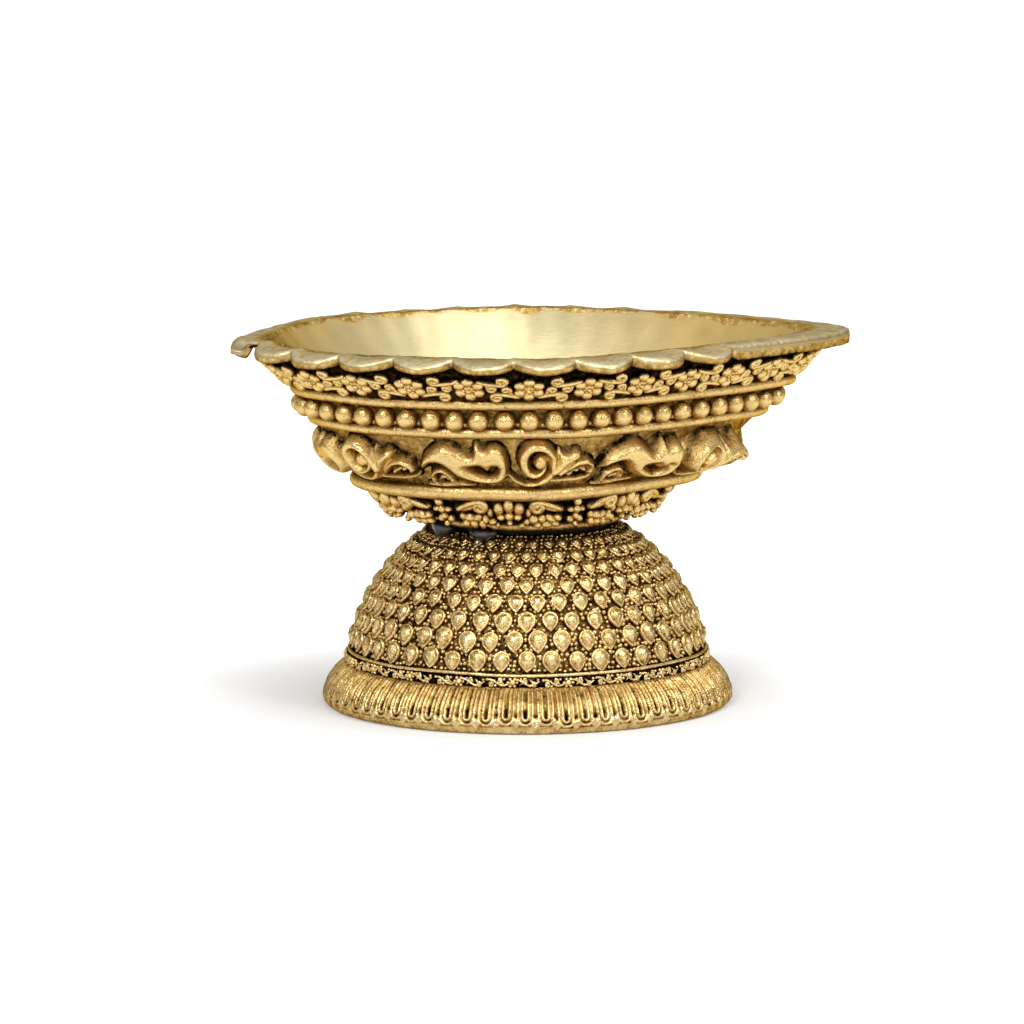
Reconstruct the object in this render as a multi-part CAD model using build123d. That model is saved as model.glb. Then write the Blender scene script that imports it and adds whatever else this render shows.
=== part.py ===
from build123d import *
import bisect
import math
import os
from collections import namedtuple

# Leaf-shaped brass butter lamp on a domed foot. Millimetres.
# Origin on the dome's axis at floor level, X towards the spout, Z up, front towards -Y.

# Fits
SOLDER_FILM = 0.08
STUD_CLEARANCE = 0.15

# Lotus base ring
BASE_SPREAD = 4.54
BASE_BULGE = 0.8
BASE_LIP = 1.8
BASE_SHOULDER = 3.2
BASE_HEIGHT = 8.0
BASE_TOP_SPREAD = 2.14
PETAL_COUNT = 64
PETAL_FILL = 0.82
PETAL_ROUND = 0.3
PETAL_CROWN = 0.6
PETAL_LIFT = 0.5
PETAL_SINK = 0.4

# Hollow dome
DOME_RADIUS = 32.4
DOME_CENTRE_Z = 5.0
CROWN_DROP = 4.4
DOME_WALL = 2.6
CROWN_WALL = 3.2

# Vine band and dome wire
VINE_HEIGHT = 1.7
VINE_PROUD = 1.2
DOME_WIRE_THICKNESS = 0.7

# Teardrop bosses, packed like a honeycomb; their sizes are shares of the pitch along the row
BOSS_ROWS = 8
BOSSES_PER_ROW = 44
BOSS_WIDTH = 0.80
BOSS_TAIL = 0.58
BOSS_LIFT = 0.30
BOSS_CROWN = 0.55
BOSS_SIDES = 6
BOSS_WIRE_GAP = 0.15
BOSS_CROWN_MARGIN = 3.5

# Neck and hidden fixing
COLLAR_RADIUS = 15.4
COLLAR_HEIGHT = 2.9
FOOT_RING_RADIUS = 18.2
FOOT_RING_HEIGHT = 1.8
STUD_RADIUS = 3.0
STUD_LENGTH = 13.0
WASHER_RADIUS = 7.5
WASHER_THICKNESS = 1.2
NUT_ACROSS_FLATS = 10.0
NUT_HEIGHT = 5.0
TACK_RADIUS = 1.7
TACK_INSET = 0.6
TACK_ANGLES = (-157.0, -125.0)

# Leaf outlines of the bowl's outside: rise, reach to the back, reach to the spout, half width
BOWL_BASE_RADIUS = 17.0
SKIRT_RISE = 0.7
SKIRT_BACK = 25.0
SKIRT_FRONT = 23.4
SKIRT_HALF = 20.2
SKIRT_POINT = 0.7
WAIST_RISE = 4.6
WAIST_BACK = 28.4
WAIST_FRONT = 26.8
WAIST_HALF = 23.0
WAIST_POINT = 0.9
BELLY_RISE = 0.8
BELLY_BACK = 31.4
BELLY_FRONT = 31.4
BELLY_HALF = 24.6
COVE_RISE = 11.7
COVE_BACK = 39.4
COVE_FRONT = 44.2
COVE_HALF = 29.6
SHOULDER_RISE = 5.5
SHOULDER_BACK = 42.6
SHOULDER_FRONT = 49.4
SHOULDER_HALF = 31.6
RIM_RISE = 7.2
RIM_BACK = 49.2
RIM_FRONT = 55.5
RIM_HALF = 38.2

# Leaf curve: handle lengths of the quarter curves, as shares of the half axes
ROUND_HANDLE = 0.5523
BACK_HANDLE = 0.50
SPOUT_SIDE_HANDLE = 0.30
SPOUT_TIP_HANDLE = 0.26

# Bowl wall and lip
BOWL_WALL = 2.4
BOWL_FLOOR = 3.0
ROOM_LEVEL = 0.75
LIP_THICKNESS = 2.1
LIP_REACH = 1.8
MOUTH_INSET = 1.2
SPOUT_LENGTH = 5.0
SPOUT_LEDGE = 3.0
LOBES_PER_SIDE = 9
LOBE_FIRST_TURN = 0.54
LOBE_INSET = 2.5
LOBE_PROUD = 3.5
LOBE_TILT = 12.0
TIP_WIDTH = 14.0
TIP_PROUD = 3.6
TIP_THICKNESS = 1.3
TIP_DROP = 3.4
TIP_HOOK = 0.9
TIP_HOOK_SHARE = 0.75

# Laid-on wires and beads
UPPER_WIRE_RADIUS = 1.1
MIDDLE_WIRE_RADIUS = 1.1
LOWER_WIRE_RADIUS = 1.35
BEAD_RADIUS = 1.75
BEAD_PITCH = 4.5
BEAD_PROUD = 0.6
BEAD_LEVEL = 0.46

# Laid-on ornament strips
FLOWER_PITCH = 10.6
FLOWER_RADIUS = 2.5
FLOWER_PETALS = 6
FLOWER_PETAL_SHARE = 0.4
FLOWER_RELIEF = 1.3
FLOWER_LEVEL = 0.5
CURL_RADIUS = 1.0
TENDRIL_WIDTH = 0.8
SCROLL_PITCH = 16.2
SCROLL_HEIGHT = 7.8
SCROLL_RELIEF = 2.3
SCROLL_WIDTH = 2.0
SCROLL_LEVEL = 0.47
WAVE_SWEEP = 170.0
HOOK_SHARE = 0.6
COIL_SWEEP = 250.0
FROND_RADIUS = 9.0
FROND_SWEEP = 55.0
GARLAND_PITCH = 7.4
GARLAND_PETALS = 4
GARLAND_PETAL_RADIUS = 1.0
GARLAND_PETAL_RING = 1.2
GARLAND_STEM = 6.0
GARLAND_RELIEF = 1.2
GARLAND_LEVEL = 0.52
STRIP_SINK = 1.2

Leaf = namedtuple("Leaf", "z back front half point")


def blend(low, high, share):
    """Value a given share of the way from low to high."""
    return low + (high - low) * share


def corner_points(leaf, quarter):
    """Four control points of one quarter of a leaf outline, counter-clockwise from the spout."""
    side = blend(ROUND_HANDLE, SPOUT_SIDE_HANDLE, leaf.point)
    tip = blend(ROUND_HANDLE, SPOUT_TIP_HANDLE, leaf.point)
    back = blend(ROUND_HANDLE, BACK_HANDLE, leaf.point)
    spout_quarter = [
        (leaf.front, 0),
        (leaf.front, tip * leaf.half),
        (side * leaf.front, leaf.half),
        (0, leaf.half),
    ]
    back_quarter = [
        (0, leaf.half),
        (-back * leaf.back, leaf.half),
        (-leaf.back, back * leaf.half),
        (-leaf.back, 0),
    ]
    if quarter == 0:
        chosen = spout_quarter
    elif quarter == 1:
        chosen = back_quarter
    elif quarter == 2:
        chosen = [(x, -y) for x, y in reversed(back_quarter)]
    else:
        chosen = [(x, -y) for x, y in reversed(spout_quarter)]
    return [Vector(x, y, leaf.z) for x, y in chosen]


def leaf_wire(leaf, quarters):
    """Outline of a leaf, or of some of its quarters, as joined curves."""
    return Wire([Bezier(*corner_points(leaf, quarter)) for quarter in quarters])


def leaf_face(leaf):
    """Flat face inside a whole leaf outline."""
    return Face(leaf_wire(leaf, range(4)))


def leaf_point(leaf, turn):
    """Point of a leaf outline; the turn runs 0 to 4, one for each quarter."""
    quarter = math.floor(turn) % 4
    t = turn - math.floor(turn)
    a, b, c, d = corner_points(leaf, quarter)
    return a * (1 - t) ** 3 + b * (3 * t * (1 - t) ** 2) + c * (3 * t * t * (1 - t)) + d * t**3


def even_turns(leaf, first, last, count):
    """Turns of evenly spaced stations, each in the middle of its share of the outline."""
    per_quarter = 100
    samples = per_quarter * math.ceil(last - first)
    turns = [blend(first, last, i / samples) for i in range(samples + 1)]
    points = [leaf_point(leaf, turn) for turn in turns]
    run = [0.0]
    for here, there in zip(points, points[1:]):
        run.append(run[-1] + (there - here).length)
    found = []
    for k in range(count):
        goal = run[-1] * (k + 0.5) / count
        i = bisect.bisect_left(run, goal)
        found.append(blend(turns[i - 1], turns[i], (goal - run[i - 1]) / (run[i] - run[i - 1])))
    return found


def girth(leaf):
    """Length once round a leaf outline."""
    return leaf_wire(leaf, range(4)).length


def grown(leaf, by):
    """The same leaf, larger all round."""
    return leaf._replace(back=leaf.back + by, front=leaf.front + by, half=leaf.half + by)


def between(low, high, share):
    """Leaf outline a given share of the way up between two levels."""
    return Leaf(*(blend(a, b, share) for a, b in zip(low, high)))


def wall_plane(low, high, share, turn):
    """Work plane lying on the wall between two levels: X along the wall, Y up it, Z outward."""
    step = 0.01
    here = between(low, high, share)
    origin = leaf_point(here, turn)
    along = (leaf_point(here, turn + step) - leaf_point(here, turn - step)).normalized()
    rise = leaf_point(high, turn) - leaf_point(low, turn)
    up = (rise - along * rise.dot(along)).normalized()
    return Plane(origin=origin, x_dir=along, z_dir=along.cross(up))


def wall_solid(levels):
    """Solid inside a stack of leaf outlines, straight between them."""
    return Solid.make_loft([leaf_wire(leaf, range(4)) for leaf in levels], ruled=True)


def ring_wire(leaf, radius):
    """Round wire bent to a leaf outline."""
    half_path = leaf_wire(leaf, (0, 1))
    start = Plane(origin=half_path.position_at(0), z_dir=half_path.tangent_at(0))
    half_ring = sweep(start * Circle(radius), path=half_path)
    return half_ring + mirror(half_ring, about=Plane.XZ)


def laid_on(plane, sketch, relief):
    """Flat ornament raised from a work plane, with roots that reach into the wall."""
    return extrude(plane.offset(-STRIP_SINK) * sketch, STRIP_SINK + relief)


def seated(pieces, bed):
    """Pieces trimmed to sit on what carries them, kept as separate solids."""
    kept = []
    for piece in pieces:
        kept.extend((piece - bed).solids())
    return Compound(kept)


def save(name, shape):
    """Write one piece to its own file."""
    shape.label = name
    export_step(shape, os.path.join("parts", name + ".step"))


os.makedirs("parts", exist_ok=True)

# Levels of the flat crown, cut off below the ball's top, and of the bowl
dome_top_z = DOME_CENTRE_Z + DOME_RADIUS - CROWN_DROP
bowl_base_z = dome_top_z + COLLAR_HEIGHT
skirt_z = bowl_base_z + SKIRT_RISE
waist_z = skirt_z + WAIST_RISE
belly_z = waist_z + BELLY_RISE
cove_z = belly_z + COVE_RISE
shoulder_z = cove_z + SHOULDER_RISE
rim_z = shoulder_z + RIM_RISE
lip_z = rim_z + LIP_THICKNESS
base_leaf = Leaf(bowl_base_z, BOWL_BASE_RADIUS, BOWL_BASE_RADIUS, BOWL_BASE_RADIUS, 0.0)
skirt_leaf = Leaf(skirt_z, SKIRT_BACK, SKIRT_FRONT, SKIRT_HALF, SKIRT_POINT)
waist_leaf = Leaf(waist_z, WAIST_BACK, WAIST_FRONT, WAIST_HALF, WAIST_POINT)
belly_leaf = Leaf(belly_z, BELLY_BACK, BELLY_FRONT, BELLY_HALF, 1.0)
cove_leaf = Leaf(cove_z, COVE_BACK, COVE_FRONT, COVE_HALF, 1.0)
shoulder_leaf = Leaf(shoulder_z, SHOULDER_BACK, SHOULDER_FRONT, SHOULDER_HALF, 1.0)
rim_leaf = Leaf(rim_z, RIM_BACK, RIM_FRONT, RIM_HALF, 1.0)
levels = [base_leaf, skirt_leaf, waist_leaf, belly_leaf, cove_leaf, shoulder_leaf, rim_leaf]
bed = wall_solid([grown(leaf, SOLDER_FILM) for leaf in levels])

# Base ring: revolved moulding with lotus petals on its slope
base_inner = math.sqrt((DOME_RADIUS - DOME_WALL) ** 2 - (BASE_HEIGHT - DOME_CENTRE_Z) ** 2)
dome_foot = math.sqrt(DOME_RADIUS**2 - (BASE_HEIGHT - DOME_CENTRE_Z) ** 2)
base_outer = dome_foot + BASE_SPREAD
base_top = dome_foot + BASE_TOP_SPREAD
lip_arc = ThreePointArc(
    (base_outer, 0),
    (base_outer + BASE_BULGE, BASE_LIP),
    (base_outer + BASE_BULGE / 2, BASE_SHOULDER),
)
slope = Line(lip_arc @ 1, (base_top, BASE_HEIGHT))
inside = Polyline(slope @ 1, (base_inner, BASE_HEIGHT), (base_inner, 0), lip_arc @ 0)
base_profile = make_face(Plane.XZ * (lip_arc + slope + inside))
petal_pitch = 2 * math.pi * (slope @ 0).X / PETAL_COUNT
petal_half = petal_pitch * PETAL_FILL / 2
petal_top_half = petal_half * base_top / (slope @ 0).X
slope_run = slope.length
petal_base = Polygon(
    (-petal_half, slope_run * PETAL_ROUND),
    (-petal_half / 2, 0),
    (petal_half / 2, 0),
    (petal_half, slope_run * PETAL_ROUND),
    (petal_top_half, slope_run),
    (-petal_top_half, slope_run),
    align=None,
)
petal_crown = Pos(0, slope_run * (1 - PETAL_CROWN) / 2) * scale(petal_base, by=PETAL_CROWN)
slope_out = Vector((slope % 1).Y, 0, -(slope % 1).X)
petal_plane = Plane(
    origin=Vector((slope @ 0).X, 0, (slope @ 0).Y),
    x_dir=(0, 1, 0),
    z_dir=slope_out,
)
petal = loft(
    [petal_plane.offset(-PETAL_SINK) * petal_base, petal_plane.offset(PETAL_LIFT) * petal_crown],
    ruled=True,
)
petals = [Rot(0, 0, 360 * i / PETAL_COUNT) * petal for i in range(PETAL_COUNT)]
base_ring = revolve(base_profile, Axis.Z) + petals
save("base_ring", base_ring)

# Dome: hollow shell, open below, with a thick flat crown bored for the stud
dome_ball = Pos(0, 0, DOME_CENTRE_Z) * Sphere(DOME_RADIUS)
dome_room = Pos(0, 0, DOME_CENTRE_Z) * Sphere(DOME_RADIUS - DOME_WALL)
up = (Align.CENTER, Align.CENTER, Align.MIN)
slab = Pos(0, 0, BASE_HEIGHT) * Cylinder(2 * DOME_RADIUS, dome_top_z - BASE_HEIGHT, align=up)
room_slab = Cylinder(2 * DOME_RADIUS, dome_top_z - CROWN_WALL, align=up)
stud_hole = Cylinder(STUD_RADIUS + STUD_CLEARANCE, 2 * bowl_base_z + COLLAR_HEIGHT)
dome_shell = (dome_ball & slab) - (dome_room & room_slab) - stud_hole
save("dome_shell", dome_shell)

# Vine band and thin wire round the bottom of the dome
vine_outer = dome_foot + VINE_PROUD
film_ball = Pos(0, 0, DOME_CENTRE_Z) * Sphere(DOME_RADIUS + SOLDER_FILM)
vine_band = Pos(0, 0, BASE_HEIGHT) * Cylinder(vine_outer, VINE_HEIGHT, align=up) - film_ball
save("vine_band", vine_band)
dome_wire_z = BASE_HEIGHT + VINE_HEIGHT + SOLDER_FILM + DOME_WIRE_THICKNESS / 2
dome_wire = Pos(0, 0, dome_wire_z) * Torus(vine_outer - VINE_PROUD / 2, DOME_WIRE_THICKNESS / 2)
save("dome_wire", dome_wire - film_ball)

# Teardrop bosses: every row has the same number, so pitch, size and row step shrink together
row_angle = 2 * math.pi / BOSSES_PER_ROW
tail_z = dome_wire_z + DOME_WIRE_THICKNESS / 2 + BOSS_WIRE_GAP
tail_latitude = math.asin((tail_z - DOME_CENTRE_Z) / DOME_RADIUS)
first_latitude = tail_latitude + BOSS_TAIL * row_angle * math.cos(tail_latitude)
crown_latitude = math.asin((dome_top_z - DOME_CENTRE_Z) / DOME_RADIUS)
last_latitude = crown_latitude - BOSS_CROWN_MARGIN / DOME_RADIUS
first_step = math.asinh(math.tan(first_latitude))
last_step = math.asinh(math.tan(last_latitude))
for row in range(BOSS_ROWS):
    latitude = math.atan(math.sinh(blend(first_step, last_step, row / (BOSS_ROWS - 1))))
    pitch = DOME_RADIUS * math.cos(latitude) * row_angle
    half = pitch * BOSS_WIDTH / 2
    corner_angles = [math.pi * (k - 0.5) / (BOSS_SIDES - 2) for k in range(BOSS_SIDES)]
    round_points = [(half * math.cos(a), half * math.sin(a)) for a in corner_angles]
    drop = Polygon(*round_points, (0, -pitch * BOSS_TAIL), align=None)
    outward = Vector(math.cos(latitude), 0, math.sin(latitude))
    seat = Plane(
        origin=Vector(0, 0, DOME_CENTRE_Z) + outward * (DOME_RADIUS + SOLDER_FILM),
        x_dir=(0, 1, 0),
        z_dir=outward,
    )
    boss_crown = seat.offset(pitch * BOSS_LIFT) * scale(drop, by=BOSS_CROWN)
    boss = loft([seat * drop, boss_crown], ruled=True)
    stagger = row % 2 / 2
    turns = [360 * (i + stagger) / BOSSES_PER_ROW for i in range(BOSSES_PER_ROW)]
    bosses = [solid for turn in turns for solid in (Rot(0, 0, turn) * boss).solids()]
    save(f"boss_row_{row + 1}", Compound(bosses))

# Neck: collar in the gap, ring under the bowl, and the fixing inside the dome
collar = Pos(0, 0, dome_top_z) * Cylinder(COLLAR_RADIUS, COLLAR_HEIGHT, align=up) - stud_hole
save("neck_collar", collar)
ring_z = bowl_base_z - FOOT_RING_HEIGHT
foot_ring = Pos(0, 0, ring_z) * Cylinder(FOOT_RING_RADIUS, FOOT_RING_HEIGHT, align=up)
foot_ring = fillet(foot_ring.edges().sort_by(Axis.Z)[0], FOOT_RING_HEIGHT / 2)
foot_ring = foot_ring - Cylinder(COLLAR_RADIUS + SOLDER_FILM, 2 * bowl_base_z)
save("bowl_foot_ring", foot_ring)
stud = Pos(0, 0, bowl_base_z - STUD_LENGTH) * Cylinder(STUD_RADIUS, STUD_LENGTH, align=up)
save("bowl_stud", stud)
washer_z = dome_top_z - CROWN_WALL - WASHER_THICKNESS
washer = Pos(0, 0, washer_z) * Cylinder(WASHER_RADIUS, WASHER_THICKNESS, align=up) - stud_hole
save("stud_washer", washer)
hexagon = RegularPolygon(NUT_ACROSS_FLATS / 2, 6, major_radius=False)
nut = Pos(0, 0, washer_z - NUT_HEIGHT) * extrude(hexagon, NUT_HEIGHT)
save("stud_nut", nut - Cylinder(STUD_RADIUS + SOLDER_FILM, 2 * dome_top_z))
tack_z = (dome_top_z + ring_z) / 2
film_crown = Cylinder(2 * DOME_RADIUS, dome_top_z + SOLDER_FILM, align=up) & film_ball
film_collar = Cylinder(COLLAR_RADIUS + SOLDER_FILM, 2 * bowl_base_z)
film_radius = FOOT_RING_RADIUS + SOLDER_FILM
film_ring = Pos(0, 0, ring_z - SOLDER_FILM) * Cylinder(film_radius, COLLAR_HEIGHT, align=up)
tacks = []
for angle in TACK_ANGLES:
    blob = Rot(0, 0, angle) * Pos(FOOT_RING_RADIUS - TACK_INSET, 0, tack_z) * Sphere(TACK_RADIUS)
    tacks.extend((blob - film_crown - film_collar - film_ring).solids())
save("solder_tacks", Compound(tacks))

# Bowl: leaf cup, flat lip with a solid spout, tilted scallops and a hooked tip
lobe_radius = LOBE_INSET + LOBE_PROUD
mouth_leaf = grown(rim_leaf, -MOUTH_INSET)._replace(z=lip_z, front=RIM_FRONT - SPOUT_LEDGE)
inner_levels = [
    grown(base_leaf, -BOWL_WALL)._replace(z=bowl_base_z + BOWL_FLOOR),
    grown(waist_leaf, -BOWL_WALL)._replace(z=belly_z + BOWL_WALL),
    grown(between(belly_leaf, cove_leaf, ROOM_LEVEL), -BOWL_WALL),
    grown(shoulder_leaf, -BOWL_WALL),
    mouth_leaf,
]
bowl_room = Solid.make_loft([leaf_wire(leaf, range(4)) for leaf in inner_levels], ruled=False)
lip_leaf = grown(rim_leaf, LIP_REACH)._replace(front=RIM_FRONT + SPOUT_LENGTH)
lip_plate = extrude(leaf_face(lip_leaf), LIP_THICKNESS)
above_lip = extrude(leaf_face(lip_leaf._replace(z=lip_z)), lobe_radius)
tip_turn = 2 - TIP_WIDTH / girth(lip_leaf) * 2
lobe_turns = even_turns(lip_leaf, LOBE_FIRST_TURN, tip_turn, LOBES_PER_SIDE)
lobes = []
for lobe_turn in lobe_turns:
    level = wall_plane(rim_leaf, lip_leaf._replace(z=lip_z), 0.5, lobe_turn)
    outward = Vector(level.x_dir.Y, -level.x_dir.X, 0)
    edge = leaf_point(lip_leaf, lobe_turn) - outward * LOBE_INSET
    tilt = math.radians(LOBE_TILT)
    lobe_plane = Plane(
        origin=edge + Vector(0, 0, LIP_THICKNESS / 2),
        x_dir=level.x_dir,
        z_dir=Vector(0, 0, math.cos(tilt)) + outward * math.sin(tilt),
    )
    lobe = lobe_plane * Cylinder(lobe_radius, LIP_THICKNESS)
    lobes.extend([lobe, mirror(lobe, about=Plane.XZ)])
tip_radius = TIP_WIDTH / 2
tip_axis = Pos(tip_radius - lip_leaf.back - TIP_PROUD, 0, lip_z - TIP_DROP)
tip_sheet = Pos(0, 0, TIP_DROP - TIP_THICKNESS) * Cylinder(tip_radius, TIP_THICKNESS, align=up)
tip_hook = Cone(tip_radius - TIP_HOOK, tip_radius, TIP_DROP, align=up)
tip_hollow = Cone(tip_radius - TIP_HOOK - TIP_THICKNESS, tip_radius - TIP_THICKNESS, TIP_DROP, align=up)
tip_end = Pos(-tip_radius * (1 + TIP_HOOK_SHARE), 0, 0) * Box(TIP_WIDTH, TIP_WIDTH, TIP_WIDTH)
lobes.append(tip_axis * (tip_sheet + ((tip_hook - tip_hollow) & tip_end)))
bowl_shell = Part() + [wall_solid(levels), lip_plate] + lobes - above_lip - bowl_room
save("bowl_shell", bowl_shell)

# Plain wires
save("upper_wire", ring_wire(shoulder_leaf, UPPER_WIRE_RADIUS) - bed)
save("middle_wire", ring_wire(cove_leaf, MIDDLE_WIRE_RADIUS) - bed)
save("lower_wire", ring_wire(belly_leaf, LOWER_WIRE_RADIUS) - bed)

# Beads between the two upper wires
bead_leaf = grown(between(cove_leaf, shoulder_leaf, BEAD_LEVEL), BEAD_PROUD)
bead_count = round(girth(bead_leaf) / BEAD_PITCH)
bead_turns = even_turns(bead_leaf, 0, 4, bead_count)
beads = [Pos(*leaf_point(bead_leaf, turn)) * Sphere(BEAD_RADIUS) for turn in bead_turns]
save("bead_row", seated(beads, bed))

# Flowers with two pairs of curls on the flare
petal_radius = FLOWER_RADIUS * FLOWER_PETAL_SHARE
heart_radius = FLOWER_RADIUS - petal_radius
flower = Circle(heart_radius) + PolarLocations(heart_radius, FLOWER_PETALS) * Circle(petal_radius)
curl_x = FLOWER_PITCH / 2 - CURL_RADIUS - TENDRIL_WIDTH / 2
curl_y = FLOWER_RADIUS - CURL_RADIUS
curls = [Pos(x, y) * Circle(CURL_RADIUS) for x in (-curl_x, curl_x) for y in (-curl_y, curl_y)]
stems = [
    trace(Line((-curl_x, -curl_y), (curl_x, curl_y)), TENDRIL_WIDTH),
    trace(Line((-curl_x, curl_y), (curl_x, -curl_y)), TENDRIL_WIDTH),
]
flower_unit = flower + curls + stems
flower_leaf = between(shoulder_leaf, rim_leaf, FLOWER_LEVEL)
flower_count = 2 * round(girth(flower_leaf) / FLOWER_PITCH / 2)
flowers = []
for turn in even_turns(flower_leaf, 0, 4, flower_count):
    plane = wall_plane(shoulder_leaf, rim_leaf, FLOWER_LEVEL, turn)
    flowers.append(laid_on(plane, flower_unit, FLOWER_RELIEF))
save("upper_flower_band", seated(flowers, bed))

# Acanthus waves and spirals, turn about, on the belly
scroll_radius = (SCROLL_HEIGHT - SCROLL_WIDTH) / 2
crest = JernArc((0, 0), (0, 1), scroll_radius, -WAVE_SWEEP)
trough = JernArc(crest @ 1, crest % 1, scroll_radius, WAVE_SWEEP)
hook = JernArc(trough @ 1, trough % 1, scroll_radius * HOOK_SHARE, WAVE_SWEEP)
wave_path = Wire([crest, trough, hook])
wave_centre = wave_path.bounding_box().center()
wave = Pos(-wave_centre.X, -wave_centre.Y) * trace(wave_path, SCROLL_WIDTH)
coil = JernArc((0, -scroll_radius), (-1, 0), scroll_radius, -COIL_SWEEP)
frond = JernArc((0, -scroll_radius), (1, 0), FROND_RADIUS, FROND_SWEEP)
spiral_centre = Wire([coil, frond]).bounding_box().center()
spiral = Circle(SCROLL_WIDTH / 2) + trace(coil, SCROLL_WIDTH) + trace(frond, SCROLL_WIDTH)
spiral = Pos(-spiral_centre.X, -spiral_centre.Y) * spiral
scroll_leaf = between(belly_leaf, cove_leaf, SCROLL_LEVEL)
scroll_count = 2 * round(girth(scroll_leaf) / SCROLL_PITCH / 2)
scrolls = []
for i, turn in enumerate(even_turns(scroll_leaf, 0, 4, scroll_count)):
    plane = wall_plane(belly_leaf, cove_leaf, SCROLL_LEVEL, turn)
    scrolls.append(laid_on(plane, spiral if i % 2 else wave, SCROLL_RELIEF))
save("scroll_band", seated(scrolls, bed))

# Garland of small crosses and leaves under the lowest wire
garland_leaf = between(skirt_leaf, waist_leaf, GARLAND_LEVEL)
garland_count = round(girth(garland_leaf) / GARLAND_PITCH)
cross = PolarLocations(GARLAND_PETAL_RING, GARLAND_PETALS) * Circle(GARLAND_PETAL_RADIUS)
sprig = trace(Line((-GARLAND_STEM / 2, 0), (GARLAND_STEM / 2, 0)), TENDRIL_WIDTH)
garland_unit = sprig + cross
garlands = []
for turn in even_turns(garland_leaf, 0, 4, garland_count):
    plane = wall_plane(skirt_leaf, waist_leaf, GARLAND_LEVEL, turn)
    garlands.append(laid_on(plane, garland_unit, GARLAND_RELIEF))
save("lower_flower_band", seated(garlands, bed))
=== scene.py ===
import math

import bmesh
import bpy
import numpy as np
from mathutils import Matrix, Vector


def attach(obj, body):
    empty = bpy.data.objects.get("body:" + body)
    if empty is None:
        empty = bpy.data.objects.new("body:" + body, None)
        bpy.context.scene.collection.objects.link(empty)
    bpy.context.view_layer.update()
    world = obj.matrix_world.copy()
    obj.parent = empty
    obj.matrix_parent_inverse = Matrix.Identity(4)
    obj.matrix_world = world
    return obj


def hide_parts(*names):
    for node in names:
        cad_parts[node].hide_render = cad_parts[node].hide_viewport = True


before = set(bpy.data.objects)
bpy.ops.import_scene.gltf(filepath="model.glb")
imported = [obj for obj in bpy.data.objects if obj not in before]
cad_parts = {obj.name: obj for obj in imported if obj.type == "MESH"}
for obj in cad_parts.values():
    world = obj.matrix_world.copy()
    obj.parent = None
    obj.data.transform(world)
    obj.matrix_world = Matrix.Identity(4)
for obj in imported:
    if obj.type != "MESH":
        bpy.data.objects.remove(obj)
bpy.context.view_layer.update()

# Base ring: a hollow cast brass moulding that stands on the floor, with a ring of lotus petals,
# each a double U cut by a slot, on its slope and a plain lip below. Cast in one, then antiqued.
MM_PER_METRE = 1000
MERGE_DISTANCE = 2e-6  # metres within which doubled corners become one
LINE_STEPS = 400  # steps into which a polyline is cut before its corners are rounded
BASE_SEED = 3
BASE_PETALS = 64
PETAL_COLUMNS = 22
BASE_ROWS = 64
BASE_INNER_RADIUS = 29.65
BASE_TOP_Z = 8.0
BASE_OUTER_PROFILE = [  # radius and height from the floor edge up over the lip and the slope
    (36.6, 0.0), (37.3, 0.15), (37.75, 0.9), (37.75, 1.8), (37.45, 3.0),
    (36.8, 4.5), (36.0, 5.6), (34.95, 6.6), (34.0, 7.4), (33.4, 8.0),
]
BASE_LIP_WAVER = 0.10
PETAL_RING = 37.5  # radius at which the petals' pitch is measured
PETAL_TIP = 2.0  # distance up the profile from the floor edge to the petals' tips
PETAL_ROUND = 1.75  # distance up from the tip to the centre of its round end
PETAL_SLIP = 0.1  # unevenness of the petals sideways and up, and of how deep they are cut
PETAL_LAG = 0.12
PETAL_CUT = (0.6, 1.1)
OUTER_RIDGE = (1.36, 0.30)  # distance from the petal's upright line, and width
INNER_RIDGE = (0.58, 0.24)
PETAL_SMILE = (0.97, 0.15)
PETAL_SLOT = (0.0, 0.15)
WEDGE_UP = 0.4
PETAL_FORMS = {  # lift in millimetres, and how much it brightens the relief
    "outer": (0.42, 0.48), "inner": (0.36, 0.46), "slot": (-0.4, -0.5),
    "smile": (-0.25, -0.36), "wedge": (0.32, 0.5), "nick": (-0.4, -0.4),
}
PETAL_GROUND = (0.15, 0.40)  # depth of the ground between the forms, and its relief
BASE_LIP_RELIEF = 0.72
BASE_ROLL_RELIEF = 0.52
BASE_WALL_RELIEF = 0.4


def linear(code):
    """Linear colour with alpha from an sRGB hex code."""
    share = np.array([int(code[i : i + 2], 16) for i in (1, 3, 5)]) / 255
    low, high = share / 12.92, ((share + 0.055) / 1.055) ** 2.4
    return (*np.where(share <= 0.04045, low, high), 1.0)


def connect(tree, node, inputs):
    """Sets a node's inputs, given by name or in their order: to a value, or linked to a socket or to
    the first live output of another node."""
    for name, value in inputs.items() if isinstance(inputs, dict) else enumerate(inputs):
        if isinstance(value, bpy.types.Node):
            value = next(socket for socket in value.outputs if socket.enabled)
        if isinstance(value, bpy.types.NodeSocket):
            tree.links.new(value, node.inputs[name])
        else:
            node.inputs[name].default_value = value


def add(tree, kind, inputs=(), stops=(), **settings):
    """One shader node with its settings and inputs and, on a ramp, its stops of position and colour.
    A MapRange takes a value, the two ends it runs between and the two it is mapped to."""
    node = tree.nodes.new("ShaderNode" + kind)
    for name, value in settings.items():
        setattr(node, name, value)
    connect(tree, node, inputs)
    while stops and len(node.color_ramp.elements) < len(stops):
        node.color_ramp.elements.new(0.5)
    for element, (position, code) in zip(node.color_ramp.elements if stops else (), stops):
        element.position = position
        element.color = linear(code)
    return node


def fresh_material(name):
    """New material, its node tree and its shader."""
    material = bpy.data.materials.new(name)
    material.use_nodes = True
    return material, material.node_tree, material.node_tree.nodes["Principled BSDF"]


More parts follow.
